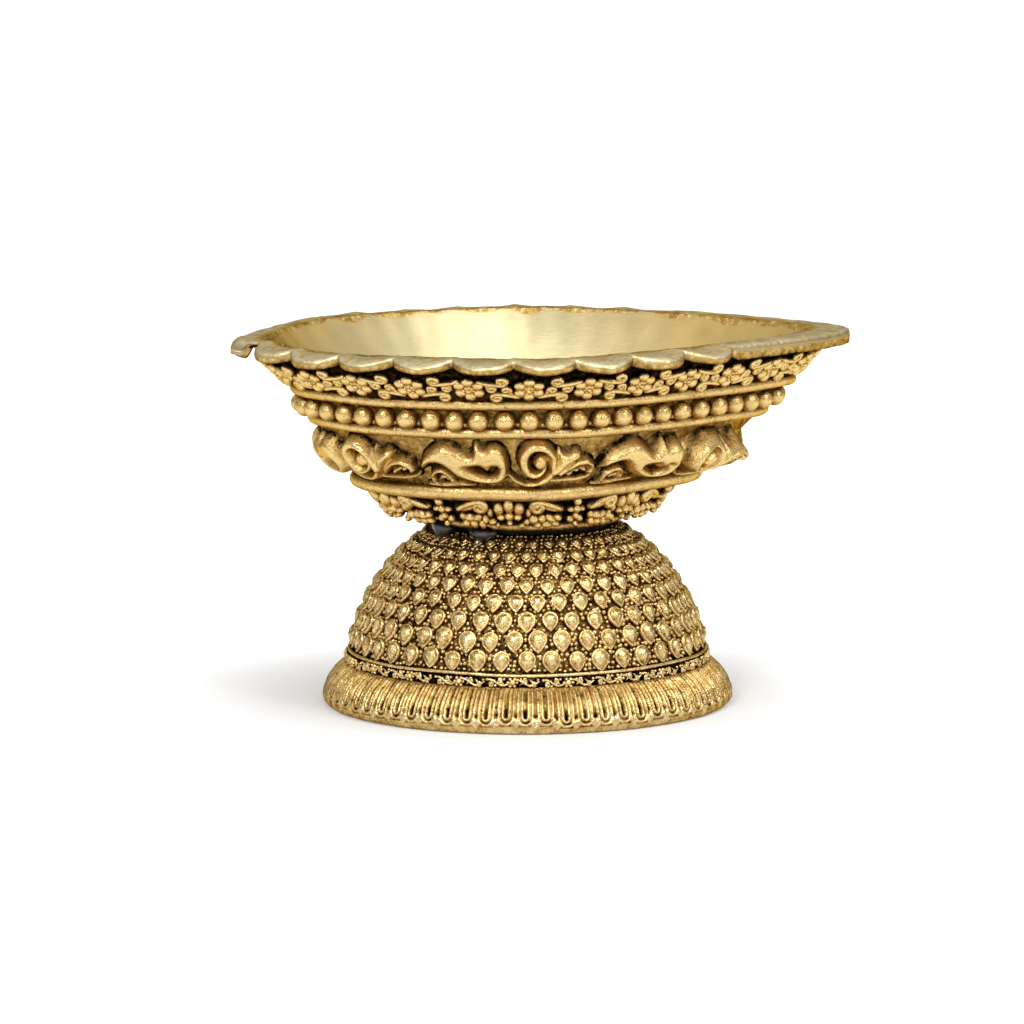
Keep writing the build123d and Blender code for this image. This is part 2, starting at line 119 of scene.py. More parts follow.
def per_mm(size):
    """Texture scale, in cells to the metre, for a pattern whose cells are that many millimetres."""
    return MM_PER_METRE / size


def antiqued_brass(name, ground, hollow, body, worn, smoothest):
    """Cast brass that was blackened and rubbed back: dark where the relief attribute is low, bright
    where it is high, mottled by patches about 1.6 mm across, pitted every 0.8 mm or so, and gritty
    with a casting grain of 0.3 mm that holds the dark; the worn places are the smoothest. On some
    pieces the relief also carries painted light and shade, noted where it is set."""
    material, tree, shader = fresh_material(name)
    place = add(tree, "TexCoord").outputs["Object"]
    relief = add(tree, "Attribute", attribute_name="relief").outputs["Fac"]
    patches = add(tree, "TexNoise", {"Vector": place, "Scale": per_mm(1.6), "Detail": 4.0, "Roughness": 0.6})
    grain = add(tree, "TexNoise", {"Vector": place, "Scale": per_mm(0.32), "Detail": 3.0, "Roughness": 0.6})
    pits = add(tree, "TexNoise", {"Vector": place, "Scale": per_mm(0.8), "Detail": 3.0, "Roughness": 0.55})
    mottle = add(tree, "MapRange", (patches, 0.3, 0.7, -0.20, 0.20))
    speck = add(tree, "MapRange", (pits, 0.58, 0.70, 0.0, -0.40))
    grit = add(tree, "MapRange", (grain, 0.54, 0.68, 0.03, -0.30))
    rubbed = add(tree, "Math", (relief, mottle), operation="ADD")
    rubbed = add(tree, "Math", (rubbed, grit), operation="ADD")
    rubbed = add(tree, "Math", (rubbed, speck), operation="ADD", use_clamp=True)
    colour = add(tree, "ValToRGB", (rubbed,), [(0.12, ground), (0.32, hollow), (0.60, body), (0.95, worn)])
    metal = add(tree, "MapRange", (rubbed, 0.05, 0.35, 0.85, 1.0))
    dull = add(tree, "MapRange", (rubbed, 0.15, 0.9, 0.50, smoothest))
    rough = add(tree, "Math", (grain, 0.2, dull), operation="MULTIPLY_ADD")
    height = add(tree, "Math", (pits, 1.6, grain), operation="MULTIPLY_ADD")
    bump = add(tree, "Bump", {"Height": height, "Strength": 0.40, "Distance": 0.00024})
    connect(tree, shader, {"Base Color": colour, "Specular Tint": colour, "Metallic": metal,
                           "Roughness": rough, "Normal": bump})
    return material


def grid_faces(rows, columns, wrap_rows=False, wrap_columns=True):
    """Corner numbers of the quads of a grid of points, which may close on itself either way."""
    r = np.arange(rows if wrap_rows else rows - 1)[:, None]
    c = np.arange(columns if wrap_columns else columns - 1)[None, :]
    r2, c2 = (r + 1) % rows, (c + 1) % columns
    corners = [r * columns + c, r * columns + c2, r2 * columns + c2, r2 * columns + c]
    return np.stack([np.broadcast_to(k, corners[0].shape) for k in corners], -1).reshape(-1, 4)


def surface(points, relief, wrap_rows=True):
    """One grid of points, closed round its columns and, unless told, its rows, as corners, quads and
    the relief at each corner."""
    rows, columns = points.shape[:2]
    height = np.broadcast_to(relief, (rows, columns)).reshape(-1)
    return points.reshape(-1, 3), grid_faces(rows, columns, wrap_rows), height


def piece(name, surfaces, material, slot, *nodes):
    """Mesh object from surfaces in millimetres, doubles merged, faces outward, riding on the lamp."""
    corners = np.concatenate([s[0] for s in surfaces]) / MM_PER_METRE
    starts = np.cumsum([0] + [len(s[0]) for s in surfaces[:-1]])
    quads = np.concatenate([s[1] + start for s, start in zip(surfaces, starts)])
    relief = np.concatenate([s[2] for s in surfaces])
    mesh = bpy.data.meshes.new(name)
    mesh.vertices.add(len(corners))
    mesh.vertices.foreach_set("co", corners.astype(np.float32).ravel())
    mesh.loops.add(4 * len(quads))
    mesh.loops.foreach_set("vertex_index", quads.astype(np.int32).ravel())
    mesh.polygons.add(len(quads))
    mesh.polygons.foreach_set("loop_start", np.arange(0, 4 * len(quads), 4, dtype=np.int32))
    mesh.update(calc_edges=True)
    mesh.attributes.new("relief", "FLOAT", "POINT").data.foreach_set("value", relief.astype(np.float32))
    soft = bmesh.new()
    soft.from_mesh(mesh)
    bmesh.ops.remove_doubles(soft, verts=soft.verts, dist=MERGE_DISTANCE)
    bmesh.ops.recalc_face_normals(soft, faces=soft.faces)
    for face in soft.faces:
        face.smooth = True
    soft.to_mesh(mesh)
    soft.free()
    mesh.materials.append(material)
    made = bpy.data.objects.new(name, mesh)
    bpy.context.collection.objects.link(made)
    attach(made, "root")
    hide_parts(*nodes)


def run_along(points):
    """Length of a polyline from its first point to each of its points."""
    return np.concatenate([[0], np.cumsum(np.linalg.norm(np.diff(points, axis=0), axis=1))])


def resampled(points, count, soften=15):
    """Evenly spaced points along a polyline whose corners a running mean has rounded; soften is half
    the mean's width, in four-hundredths of the line."""
    points = np.asarray(points, float)
    run = run_along(points)
    fine = np.linspace(0, run[-1], LINE_STEPS + 1)
    line = np.stack([np.interp(fine, run, column) for column in points.T], -1)
    before, after = line[soften:0:-1], line[-2 : -2 - soften : -1]
    padded = np.concatenate([2 * line[:1] - before, line, 2 * line[-1:] - after])
    kernel = np.ones(2 * soften + 1) / (2 * soften + 1)
    smooth = np.stack([np.convolve(column, kernel, "valid") for column in padded.T], -1)
    pick = np.linspace(0, LINE_STEPS, count)
    return np.stack([np.interp(pick, np.arange(LINE_STEPS + 1), column) for column in smooth.T], -1)


def smoothstep(low, high, value):
    """Zero below low, one above high, and a soft S between."""
    t = np.clip((value - low) / (high - low), 0, 1)
    return t * t * (3 - 2 * t)


def ridge(distance, middle, width):
    """Bell curve: one at the middle, nearly nothing two widths away."""
    return np.exp(-(((distance - middle) / width) ** 2))


def circle(count):
    """Angles of so many even steps once round."""
    return np.linspace(0, 2 * np.pi, count, endpoint=False)


def about_axis(radius, turn, z):
    """Points at a radius, an angle about the lamp's axis and a height."""
    return np.stack(np.broadcast_arrays(radius * np.cos(turn), radius * np.sin(turn), z), -1)


antique_brass = antiqued_brass("antiqued_cast_brass", "#080502", "#5C451F", "#BB9758", "#E6CD95", 0.12)


def base_ring_surface():
    """Ring profile turned about the axis. On the slope each petal is two nested U ridges, at set
    distances from an upright line with a round end, a short slot on the line, and between the tips
    a small triangle; the ridges run up over the roll at the top."""
    rng = np.random.default_rng(BASE_SEED)
    slope = resampled(BASE_OUTER_PROFILE, BASE_ROWS)
    run = run_along(slope)[:, None]
    turn = circle(BASE_PETALS * PETAL_COLUMNS)
    radius, z = slope[:, :1], slope[:, 1:]
    pitch = 2 * np.pi * PETAL_RING / BASE_PETALS
    share = turn * BASE_PETALS / (2 * np.pi)
    petal = np.floor(share).astype(int) % BASE_PETALS
    across = ((share % 1 - 0.5) * pitch + rng.normal(0, PETAL_SLIP, BASE_PETALS)[petal])[None, :]
    up = run - PETAL_TIP - rng.normal(0, PETAL_LAG, BASE_PETALS)[petal]
    depth = rng.uniform(*PETAL_CUT, BASE_PETALS)[petal]
    far = np.hypot(across, 0.9 * np.maximum(0, PETAL_ROUND - up))
    shown = smoothstep(-0.1, 0.3, up)
    beside = pitch / 2 - np.abs(across)
    past = np.abs(up - WEDGE_UP)
    wedge_half = np.clip(0.95 - 0.6 * past, 0.02, None)
    forms = {
        "outer": ridge(far, *OUTER_RIDGE) * shown,
        "inner": ridge(far, *INNER_RIDGE) * shown,
        "slot": (depth * ridge(across, *PETAL_SLOT)
                 * smoothstep(1.3, 1.7, up) * (1 - smoothstep(2.6, 3.6, up))),
        "smile": depth * ridge(far, *PETAL_SMILE) * shown * (1 - smoothstep(0.7, 1.3, up)),
        "wedge": smoothstep(0.0, 0.5, 1.0 - beside / wedge_half) * (past < 1.3),
        "nick": ridge(beside, 0, 0.35) * ridge(up, PETAL_ROUND, 0.4),
    }
    out = sum(PETAL_FORMS[name][0] * form for name, form in forms.items())
    out = (out - PETAL_GROUND[0]) * smoothstep(0.8, 1.6, run) * (1 - smoothstep(7.2, 7.9, z))
    waver = BASE_LIP_WAVER * np.sin(19 * turn + 2) * np.sin(7 * turn)
    out = out + waver * (1 - smoothstep(1.6, 2.4, run)) * smoothstep(0.4, 0.9, run)
    lean = np.gradient(slope, axis=0)
    lean /= np.linalg.norm(lean, axis=1, keepdims=True)
    wall = np.ones((2, len(turn)))
    r = np.concatenate([radius + out * lean[:, 1:], BASE_INNER_RADIUS * wall])
    h = np.concatenate([np.maximum(z - out * lean[:, :1], 0), [[BASE_TOP_Z], [0.0]] * wall])
    relief = sum((PETAL_FORMS[name][1] * form for name, form in forms.items()), PETAL_GROUND[1])
    roll = relief + (BASE_ROLL_RELIEF - relief) * 0.35 * smoothstep(3.3, 5.2, up)
    relief = np.concatenate([np.where(up < -0.1, BASE_LIP_RELIEF, roll), BASE_WALL_RELIEF * wall])
    return surface(about_axis(r, turn, h), relief)


piece("base_ring_lotus", [base_ring_surface()], antique_brass, "antique_brass", "base_ring")

# Dome: a hollow cast brass shell, open below, with a thick crown bored for the stud. Its outside
# is a black ground crowded with grains the size of mustard seed, left between the bosses.
DOME_RADIUS = 32.4
DOME_CENTRE_Z = 5.0
DOME_TOP_Z = 33.0
DOME_INNER_RADIUS = 29.8
DOME_ROWS = 40
DOME_INNER_ROWS = 30
DOME_COLUMNS = 176
DOME_RELIEF = (0.30, 0.1, 0.3, 0.5)  # outside, the two edges of the stud hole, inside
CROWN_UNDER_Z = 29.8
STUD_HOLE_RADIUS = 3.15
BOSS_ROWS = 8
BOSSES_PER_ROW = 44
BOSS_FIRST = 13.5  # degrees up to the lowest row, step to the next, and how the steps shrink
BOSS_STEP = 6.62
BOSS_SHRINK = 0.09
BOSS_HALF_WIDTH = 0.38  # shares of the pitch between neighbours in a row
BOSS_HEAD = 0.385
BOSS_TAIL = 0.57
GRAIN_SEED = 11
GRAIN_STEP = 0.92
GRAIN_BAND = (10.2, 59.6)  # degrees of latitude from the vine strip to the crown
GRAIN_NUDGE = 0.16
GRAIN_CLEAR = 0.8  # share of a boss, squared, under which no grain is set
GRAIN_SIZES = (0.36, 0.60)
GRAIN_SIDES = 6
GRAIN_RINGS = [(1.0, -0.4, 0.2), (0.86, 0.5, 0.66), (0.0, 1.0, 0.9)]  # radius, height and relief


def on_dome(longitude, latitude, out):
    """Point on the dome at a longitude and latitude in radians, raised by so many millimetres."""
    r = DOME_RADIUS + out
    return about_axis(r * np.cos(latitude), longitude, DOME_CENTRE_Z + r * np.sin(latitude))


def ball(centre, radii, rows=6, columns=8, turn=0.0):
    """Closed ellipsoid about a centre: latitude by longitude, turned about its third axis."""
    a = np.linspace(-np.pi / 2, np.pi / 2, rows + 1)[:, None]
    b = circle(columns)[None, :]
    x = radii[0] * np.cos(a) * np.cos(b)
    y = radii[1] * np.cos(a) * np.sin(b)
    z = radii[2] * np.sin(a) * np.ones_like(b)
    c, s = math.cos(turn), math.sin(turn)
    return np.stack([x * c - y * s, x * s + y * c, z], -1) + np.asarray(centre, float)


def boss_latitudes():
    """Latitudes of the boss rows in radians: the step shrinks a little from row to row."""
    row = np.arange(BOSS_ROWS)
    return np.radians(BOSS_FIRST + BOSS_STEP * row - BOSS_SHRINK * row**2)


def repeated(relief, place, columns, rows):
    """Copies of one grid, given as the corners of every copy, with the relief of one copy or all."""
    copies, count = place.shape[0], rows * columns
    quads = (grid_faces(rows, columns)[None] + count * np.arange(copies)[:, None, None]).reshape(-1, 4)
    return place.reshape(-1, 3), quads, np.broadcast_to(relief, (copies, count)).reshape(-1)


def dome_arc(radius, first_z, last_z, count):
    """Radius and height at even angles along a circle about the dome's centre, between two heights."""
    a = np.linspace(*(math.asin((z - DOME_CENTRE_Z) / radius) for z in (first_z, last_z)), count)
    return np.stack([radius * np.cos(a), DOME_CENTRE_Z + radius * np.sin(a)], -1)


def turned(profile, columns):
    """Profile of radius and height turned about the axis."""
    return about_axis(profile[:, :1], circle(columns), profile[:, 1:])


def dome_surface():
    """Shell profile turned about the axis: outer sphere, flat crown, stud hole, inner sphere."""
    outer = dome_arc(DOME_RADIUS, BASE_TOP_Z, DOME_TOP_Z, DOME_ROWS)
    hole = [(STUD_HOLE_RADIUS, DOME_TOP_Z), (STUD_HOLE_RADIUS, CROWN_UNDER_Z)]
    inner = dome_arc(DOME_INNER_RADIUS, CROWN_UNDER_Z, BASE_TOP_Z, DOME_INNER_ROWS)
    relief = np.repeat(DOME_RELIEF, [DOME_ROWS, 1, 1, DOME_INNER_ROWS])[:, None]
    return surface(turned(np.concatenate([outer, hole, inner]), DOME_COLUMNS), relief)


def dome_grains():
    """Grains in close rings from the vine strip to the crown, each nudged and sized by seeded amounts
    and sunk to its waist; those that would lie under a boss are left out."""
    rng = np.random.default_rng(GRAIN_SEED)
    rings = np.arange(*np.radians(GRAIN_BAND), GRAIN_STEP / DOME_RADIUS)
    counts = np.round(2 * np.pi * DOME_RADIUS * np.cos(rings) / GRAIN_STEP).astype(int)
    ring = np.repeat(np.arange(len(rings)), counts)
    place = np.arange(len(ring)) - np.repeat(np.cumsum(counts) - counts, counts)
    nudge = rng.normal(0, GRAIN_NUDGE, (2, len(ring)))
    latitude = rings[ring] + nudge[0] * GRAIN_STEP / DOME_RADIUS
    longitude = (place + ring % 2 / 2 + nudge[1]) * 2 * np.pi / counts[ring]
    step = 2 * np.pi / BOSSES_PER_ROW
    rows = boss_latitudes()
    across = longitude[:, None] / step - np.arange(BOSS_ROWS) % 2 / 2
    across = across - np.round(across)
    up = (latitude[:, None] - rows) / (step * np.cos(rows))
    reach = np.where(up > 0, BOSS_HEAD, BOSS_TAIL)
    covered = np.any((across / BOSS_HALF_WIDTH) ** 2 + (up / reach) ** 2 < GRAIN_CLEAR, axis=1)
    longitude, latitude = longitude[~covered][:, None], latitude[~covered][:, None]
    size = rng.uniform(*GRAIN_SIZES, longitude.shape) * np.cos(latitude) ** 0.5
    wide, high, relief = np.array(GRAIN_RINGS).T[:, :, None]
    unit = about_axis(wide, circle(GRAIN_SIDES), high).reshape(-1, 3)
    lon = longitude + size * unit[:, 0] / (DOME_RADIUS * np.cos(latitude))
    lat = latitude + size * unit[:, 1] / DOME_RADIUS
    corners = on_dome(lon, lat, 0.1 + 1.15 * size * unit[:, 2])
    return repeated(np.repeat(relief, GRAIN_SIDES), corners, GRAIN_SIDES, len(GRAIN_RINGS))


piece("dome_shell_grained", [dome_surface(), dome_grains()], antique_brass, "dark_brass", "dome_shell")

# Bosses: cast teardrops, point down, soldered to the dome in eight rows packed like a honeycomb.
# Each has a thin raised border round a low cushion that years of rubbing have pitted.
BOSS_SEED = 100
BOSS_SIDES = 16
BOSS_LIFT = 0.31
BOSS_GROWTH = (0.92, 1.07)
BOSS_SLIP = 0.025
BOSS_DENT = 0.07
BOSS_RINGS = [  # share of the outline, share of the lift and relief, from the foot to the middle
    (1.06, -0.35, 0.10), (1.02, 0.25, 0.36), (0.97, 0.56, 0.80), (0.87, 0.68, 0.92),
    (0.74, 0.58, 0.55), (0.52, 0.88, 0.84), (0.27, 1.04, 0.96), (0.0, 1.10, 0.98),
]


def boss_row(row, latitude):
    """Rings of a teardrop outline, shrinking from the foot over a raised border and a groove to the
    cushion's middle; every corner is dented by a seeded amount, as the castings are."""
    rng = np.random.default_rng(BOSS_SEED + row)
    angle = circle(BOSS_SIDES) - np.pi / 2
    tail = np.maximum(0, -np.sin(angle)) ** 9
    x = BOSS_HALF_WIDTH * np.cos(angle)
    y = BOSS_HEAD * np.sin(angle) - (BOSS_TAIL - BOSS_HEAD) * tail
    share, lift, worn = np.array(BOSS_RINGS).T[:, :, None]
    pitch = DOME_RADIUS * math.cos(latitude) * 2 * np.pi / BOSSES_PER_ROW
    copies = np.arange(BOSSES_PER_ROW)[:, None, None]
    grow = rng.uniform(*BOSS_GROWTH, copies.shape)
    slip = rng.normal(0, BOSS_SLIP, (2,) + copies.shape)
    longitude = (copies + row % 2 / 2 + slip[0] + grow * share * x) * 2 * np.pi / BOSSES_PER_ROW
    lat = latitude + (slip[1] + grow * share * y) * pitch / DOME_RADIUS
    dent = rng.normal(0, BOSS_DENT, (BOSSES_PER_ROW, len(share), BOSS_SIDES))
    dent = dent * smoothstep(1.0, 0.7, share) * smoothstep(0.0, 0.2, share)
    out = BOSS_LIFT * pitch * (lift * grow + dent)
    relief = (worn + 1.5 * np.minimum(dent, 0.03)).reshape(BOSSES_PER_ROW, -1)
    return repeated(relief, on_dome(longitude, lat, out), BOSS_SIDES, len(share))


for row, latitude in enumerate(boss_latitudes()):
    name = f"boss_row_{row + 1}"
    piece(name + "_teardrops", [boss_row(row, latitude)], antique_brass, "antique_brass", name)

# Vine band: a narrow cast strip let in below the bosses, a black ground with wandering tendrils,
# hooks and button flowers. Bent round the dome's foot and soldered.
VINE_RADIUS = 33.3
VINE_LOW_Z = 8.0
VINE_HIGH_Z = 9.7
VINE_UNITS = 21
VINE_TOP = 0.4  # height at which the relief is brightest
VINE_WAVE = 0.55
VINE_STEPS = 40
TENDRIL_RADIUS = 0.24
HOOK_RADIUS = 0.2
HOOK_STEPS = 14
VINE_LIFT = 0.25
VINE_HOOKS = [  # start, pull and eye of each hook to the right of the flower, its reach and its turns
    ((1.2, -0.6), (2.3, 0.9), (2.3, 0.25), 0.52, 1.2),
    ((2.9, 0.7), (4.0, -0.8), (3.9, -0.25), 0.5, -1.2),
]
VINE_BUDS = [(1.5, 0.62, 0.3, 0.28), (3.1, -0.6, 0.34, 0.3), (4.6, 0.5, 0.32, 0.3)]  # place and radii
VINE_PETALS = ((0.8, 0.72, 0.2), (0.36, 0.34, 0.4))  # reach along, up and out, and radii of each
CURL_END = 0.22  # radius at which a curl ends, for the one it starts with
UNIT_NUDGE = 0.12  # unevenness with which the units of a band are laid
UNIT_RELIEF = (0.12, 0.85)  # relief of a unit at the wall, and what its height adds


def tube(path, radius, lift, columns=6, flat=1.0):
    """Rod along a path in a wall's own plane: along, up and out. Rings of the given radii stand
    square to the path; a radius of nothing at an end closes it."""
    path = np.asarray(path, float)
    along = np.gradient(path, axis=0)
    along /= np.maximum(np.linalg.norm(along, axis=1, keepdims=True), 1e-9)
    a = circle(columns)
    side = radius[:, None] * np.cos(a)
    x = path[:, :1] - along[:, 1:] * side
    y = path[:, 1:] + along[:, :1] * side
    return np.stack([x, y, lift + flat * radius[:, None] * np.sin(a)], -1)


def tapered(count, radius):
    """Radii of a rod that is round at both ends and even between."""
    t = np.linspace(0, 1, count)
    return radius * np.sqrt(np.clip(1 - np.abs(2 * t - 1) ** 12, 0, 1))


def curl(start, pull, eye, reach, turns, count=26, hold=1.1):
    """Path that leaves start towards pull and winds in on an eye: a curve, held straight for so many
    reaches before the eye, then a spiral whose radius shrinks evenly. Turns below zero wind clockwise."""
    start, pull, eye = (np.asarray(p, float) for p in (start, pull, eye))
    sense = 1 if turns > 0 else -1
    away = pull - eye
    first = math.atan2(away[1], away[0])
    gate = eye + reach * np.array([math.cos(first), math.sin(first)])
    t = np.linspace(0, 1, count // 2, endpoint=False)[:, None]
    heading = sense * np.array([-math.sin(first), math.cos(first)])
    hand = gate - heading * reach * hold
    lead = start * (1 - t) ** 2 + 2 * hand * t * (1 - t) + gate * t**2
    a = first + np.linspace(0, 2 * np.pi * turns, count)
    shrink = reach * np.linspace(1, CURL_END, count)
    wind = eye + np.stack([shrink * np.cos(a), shrink * np.sin(a)], -1)
    return np.concatenate([lead, wind])


def wreath(middle, reach, radii, rows, columns, first=0.0, fan=False):
    """Six balls at even angles round a middle, out to a reach along and up the wall and out of it; in
    a fan each is turned with its angle."""
    made = []
    for a in first + circle(6):
        centre = (middle + reach[0] * math.cos(a), reach[1] * math.sin(a), reach[2])
        made.append(ball(centre, radii, rows, columns, a if fan else 0.0))
    return made


def spread(grids, count, length, place, top):
    """Grids of one ornament unit, in a wall's plane, laid end to end round the wall: each copy is
    moved along by its share of the length, then every corner is put on the wall at once. The relief
    is each corner's height over the given top."""
    made = []
    nudge = np.random.default_rng(count).normal(0, UNIT_NUDGE, (2, count, 1))
    for grid in grids:
        rows, columns = grid.shape[:2]
        flat = grid.reshape(-1, 3)
        along = flat[None, :, 0] + np.arange(count)[:, None] * (length / count) + nudge[0]
        up = flat[None, :, 1] + nudge[1]
        out = np.broadcast_to(flat[None, :, 2], along.shape)
        relief = np.clip(UNIT_RELIEF[0] + UNIT_RELIEF[1] * flat[:, 2] / top, 0, 1)
        made.append(repeated(relief, place(along, up, out), columns, rows))
    return made


def on_vine_band(along, up, out):
    """Point on the vine strip: millimetres along it, up from its middle and out of it."""
    return about_axis(VINE_RADIUS + out, along / VINE_RADIUS, (VINE_LOW_Z + VINE_HIGH_Z) / 2 + up)


def vine_unit():
    """Button flower, a wave of tendril on either side of it, and hooks that fill the ground."""
    pitch = 2 * np.pi * VINE_RADIUS / VINE_UNITS
    x = np.linspace(-pitch / 2, pitch / 2, VINE_STEPS)
    wave = np.stack([x, VINE_WAVE * np.sin(2 * np.pi * 2 * x / pitch + 0.6)], -1)
    grids = [tube(wave, tapered(VINE_STEPS, TENDRIL_RADIUS), VINE_LIFT, 5)]
    grids.append(ball((0, 0.0, 0.3), (0.62, 0.6, 0.5), 5, 8))
    grids += wreath(0, *VINE_PETALS, 4, 6)
    for side in (-1, 1):
        for start, pull, eye, reach, turns in VINE_HOOKS:
            hook = curl(*np.multiply((start, pull, eye), (side, 1)), reach, side * turns, HOOK_STEPS)
            grids.append(tube(hook, tapered(len(hook), HOOK_RADIUS), VINE_LIFT, 5))
        for x, y, wide, tall in VINE_BUDS:
            grids.append(ball((side * x, y, 0.2), (wide, tall, 0.34), 4, 6))
    return grids


def vine_ground():
    """Plain strip: a ring of rectangular section about the dome's foot."""
    foot = math.sqrt(DOME_RADIUS**2 - (VINE_LOW_Z - DOME_CENTRE_Z) ** 2) + 0.05
    outside = [(VINE_RADIUS, VINE_LOW_Z), (VINE_RADIUS, VINE_HIGH_Z)]
    profile = np.array([(foot, VINE_LOW_Z), *outside, (foot - 0.1, VINE_HIGH_Z)])
    return surface(turned(profile, DOME_COLUMNS), 0.1)


vine_strips = spread(vine_unit(), VINE_UNITS, 2 * np.pi * VINE_RADIUS, on_vine_band, VINE_TOP)
piece("vine_band_tendrils", [vine_ground()] + vine_strips, antique_brass, "antique_brass", "vine_band")

# Dome wire: drawn brass wire of under a millimetre, laid round the dome over the vine strip and
# soldered; it wavers a little, as wire that was bent by hand.
DOME_WIRE_RADIUS = 0.36
DOME_WIRE_Z = 10.1
DOME_WIRE_RING = 32.95
DOME_WIRE_STEPS = 240
DOME_WIRE_SIDES = 10


def dome_wire_surface():
    """Round section carried round a circle whose height wavers by a fifth of a millimetre."""
    turn = circle(DOME_WIRE_STEPS)[:, None]
    a = circle(DOME_WIRE_SIDES)[None, :]
    r = DOME_WIRE_RING + DOME_WIRE_RADIUS * np.cos(a)
    z = DOME_WIRE_Z + DOME_WIRE_RADIUS * np.sin(a) + 0.1 * np.sin(5 * turn) + 0.06 * np.sin(9 * turn + 2)
    return surface(about_axis(r, turn, z), 0.45 + 0.45 * np.cos(a))


piece("dome_wire_bent", [dome_wire_surface()], antique_brass, "antique_brass", "dome_wire")

# Neck: a collar in the gap, near black, partly blackened brass and partly painted shade of the gap,
# the thin ring under the bowl, the steel stud with its washer and nut inside the dome, and two blobs
# of grey solder run in at the front left.
COLLAR_RADIUS = 15.4
BOWL_BASE_Z = 35.9
FOOT_RING_RADIUS = 18.2
FOOT_RING_LOW_Z = 34.1
FOOT_RING_HEIGHT = 1.8
FOOT_RING_BORE = COLLAR_RADIUS + 0.1
FOOT_RING_ROWS = 12
FOOT_RING_COLUMNS = 180
TACK_RING = 17.6
TACK_RADIUS = 1.95
TACK_STRETCH = 1.35
TACKS = [(-157.0, 1.0), (-125.0, 0.85)]  # degrees round from the spout, and height for its width


def foot_ring_surface():
    """Half-round moulding turned about the axis, pressed a little out of round."""
    a = np.linspace(-np.pi / 2, np.pi / 2, FOOT_RING_ROWS)
    half = FOOT_RING_HEIGHT / 2
    r = FOOT_RING_RADIUS - half * (1 - np.cos(a))
    z = FOOT_RING_LOW_Z + half + half * np.sin(a)
    r = np.append(r, [FOOT_RING_BORE, FOOT_RING_BORE])[:, None]
    z = np.append(z, [BOWL_BASE_Z - 0.05, FOOT_RING_LOW_Z])[:, None]
    turn = circle(FOOT_RING_COLUMNS)
    # Relief rises from the bead's foot to its top: painted shade below and painted light on top.
    relief = np.append(np.linspace(0.3, 0.85, FOOT_RING_ROWS), [0.2, 0.2])[:, None]
    return surface(about_axis(r + 0.1 * np.sin(3 * turn + 1), turn, z), relief)


def solder_blobs():
    """Two lumps: balls whose radius swells and dips with direction, one more slumped."""
    made = []
    for angle, slump in TACKS:
        shape = ball((0, 0, 0), (1, 1, 1), 20, 28)
        dent = 1 + 0.05 * np.sin(3 * shape[..., 0] + 2 * shape[..., 1])
        dent = dent + 0.05 * np.sin(4 * shape[..., 2] + angle)
        shape = shape * dent[..., None] * TACK_RADIUS * np.array([1.0, TACK_STRETCH, slump])
        c, s = math.cos(math.radians(angle)), math.sin(math.radians(angle))
        x, y = shape[..., 0] + TACK_RING, shape[..., 1]
        z = shape[..., 2] + (DOME_TOP_Z + FOOT_RING_LOW_Z) / 2
        made.append(surface(np.stack([x * c - y * s, x * s + y * c, z], -1), 0.5, wrap_rows=False))
    return made


def dull_metal(name, dark, light, metallic, rough, grit):
    """Plain metal with clouds of two near tones and a fine grit of the given size."""
    material, tree, shader = fresh_material(name)
    place = add(tree, "TexCoord").outputs["Object"]
    cloud = add(tree, "TexNoise", {"Vector": place, "Scale": per_mm(4 * grit), "Detail": 4.0})
    fine = add(tree, "TexNoise", {"Vector": place, "Scale": per_mm(grit), "Detail": 2.0})
    tone = add(tree, "ValToRGB", (cloud,), [(0.3, dark), (0.7, light)])
    uneven = add(tree, "MapRange", (fine, 0.0, 1.0, rough - 0.1, rough + 0.1))
    bump = add(tree, "Bump", {"Height": fine, "Strength": 0.4, "Distance": 0.0001})
    connect(tree, shader, {"Base Color": tone, "Metallic": metallic, "Roughness": uneven, "Normal": bump})
    return material


solder = dull_metal("oxidised_tin_solder", "#1D1C1C", "#5E5B58", 0.85, 0.32, 0.5)
# The collar's near black is partly its blackening and partly painted shade of the dark gap under the bowl.
blackened_and_shaded_brass = dull_metal("blackened_brass_with_painted_shade", "#0B0806", "#2A2014", 0.5, 0.7, 0.6)
turned_steel = dull_metal("turned_steel", "#6E7072", "#8E9092", 1.0, 0.35, 0.4)
piece("bowl_foot_ring_bead", [foot_ring_surface()], antique_brass, "antique_brass", "bowl_foot_ring")
piece("solder_tacks_run", solder_blobs(), solder, "solder", "solder_tacks")
for name, finish in [("neck_collar", blackened_and_shaded_brass), ("bowl_stud", turned_steel),
                     ("stud_washer", turned_steel), ("stud_nut", turned_steel)]:
    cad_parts[name].data.materials.clear()
    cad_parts[name].data.materials.append(finish)

# Bowl: the leaf cup, beaten and cast brass, with a scalloped lip of eighteen lobes, a curled tip
# at the back and a solid spout at the front. Inside and lip are buffed pale, with a painted highlight
# on the far wall inside; the outside is tarnished.
LEAF_BASE = (35.9, 17.0, 17.0, 17.0, 0.0)  # height, reach back, reach to spout, half width, taper
LEAF_SKIRT = (36.6, 25.0, 23.4, 20.2, 0.7)
LEAF_WAIST = (41.2, 28.4, 26.8, 23.0, 0.9)
LEAF_BELLY = (42.0, 31.4, 31.4, 24.6, 1.0)
LEAF_COVE = (53.7, 39.4, 44.2, 29.6, 1.0)
LEAF_SHOULDER = (59.2, 42.6, 49.4, 31.6, 1.0)
LEAF_RIM = (66.4, 50.0, 55.5, 38.2, 1.0)
LEAF_LIP = (68.5, 51.0, 60.5, 40.0, 1.0)
LEAF_MOUTH = (68.5, 48.0, 52.5, 37.0, 1.0)
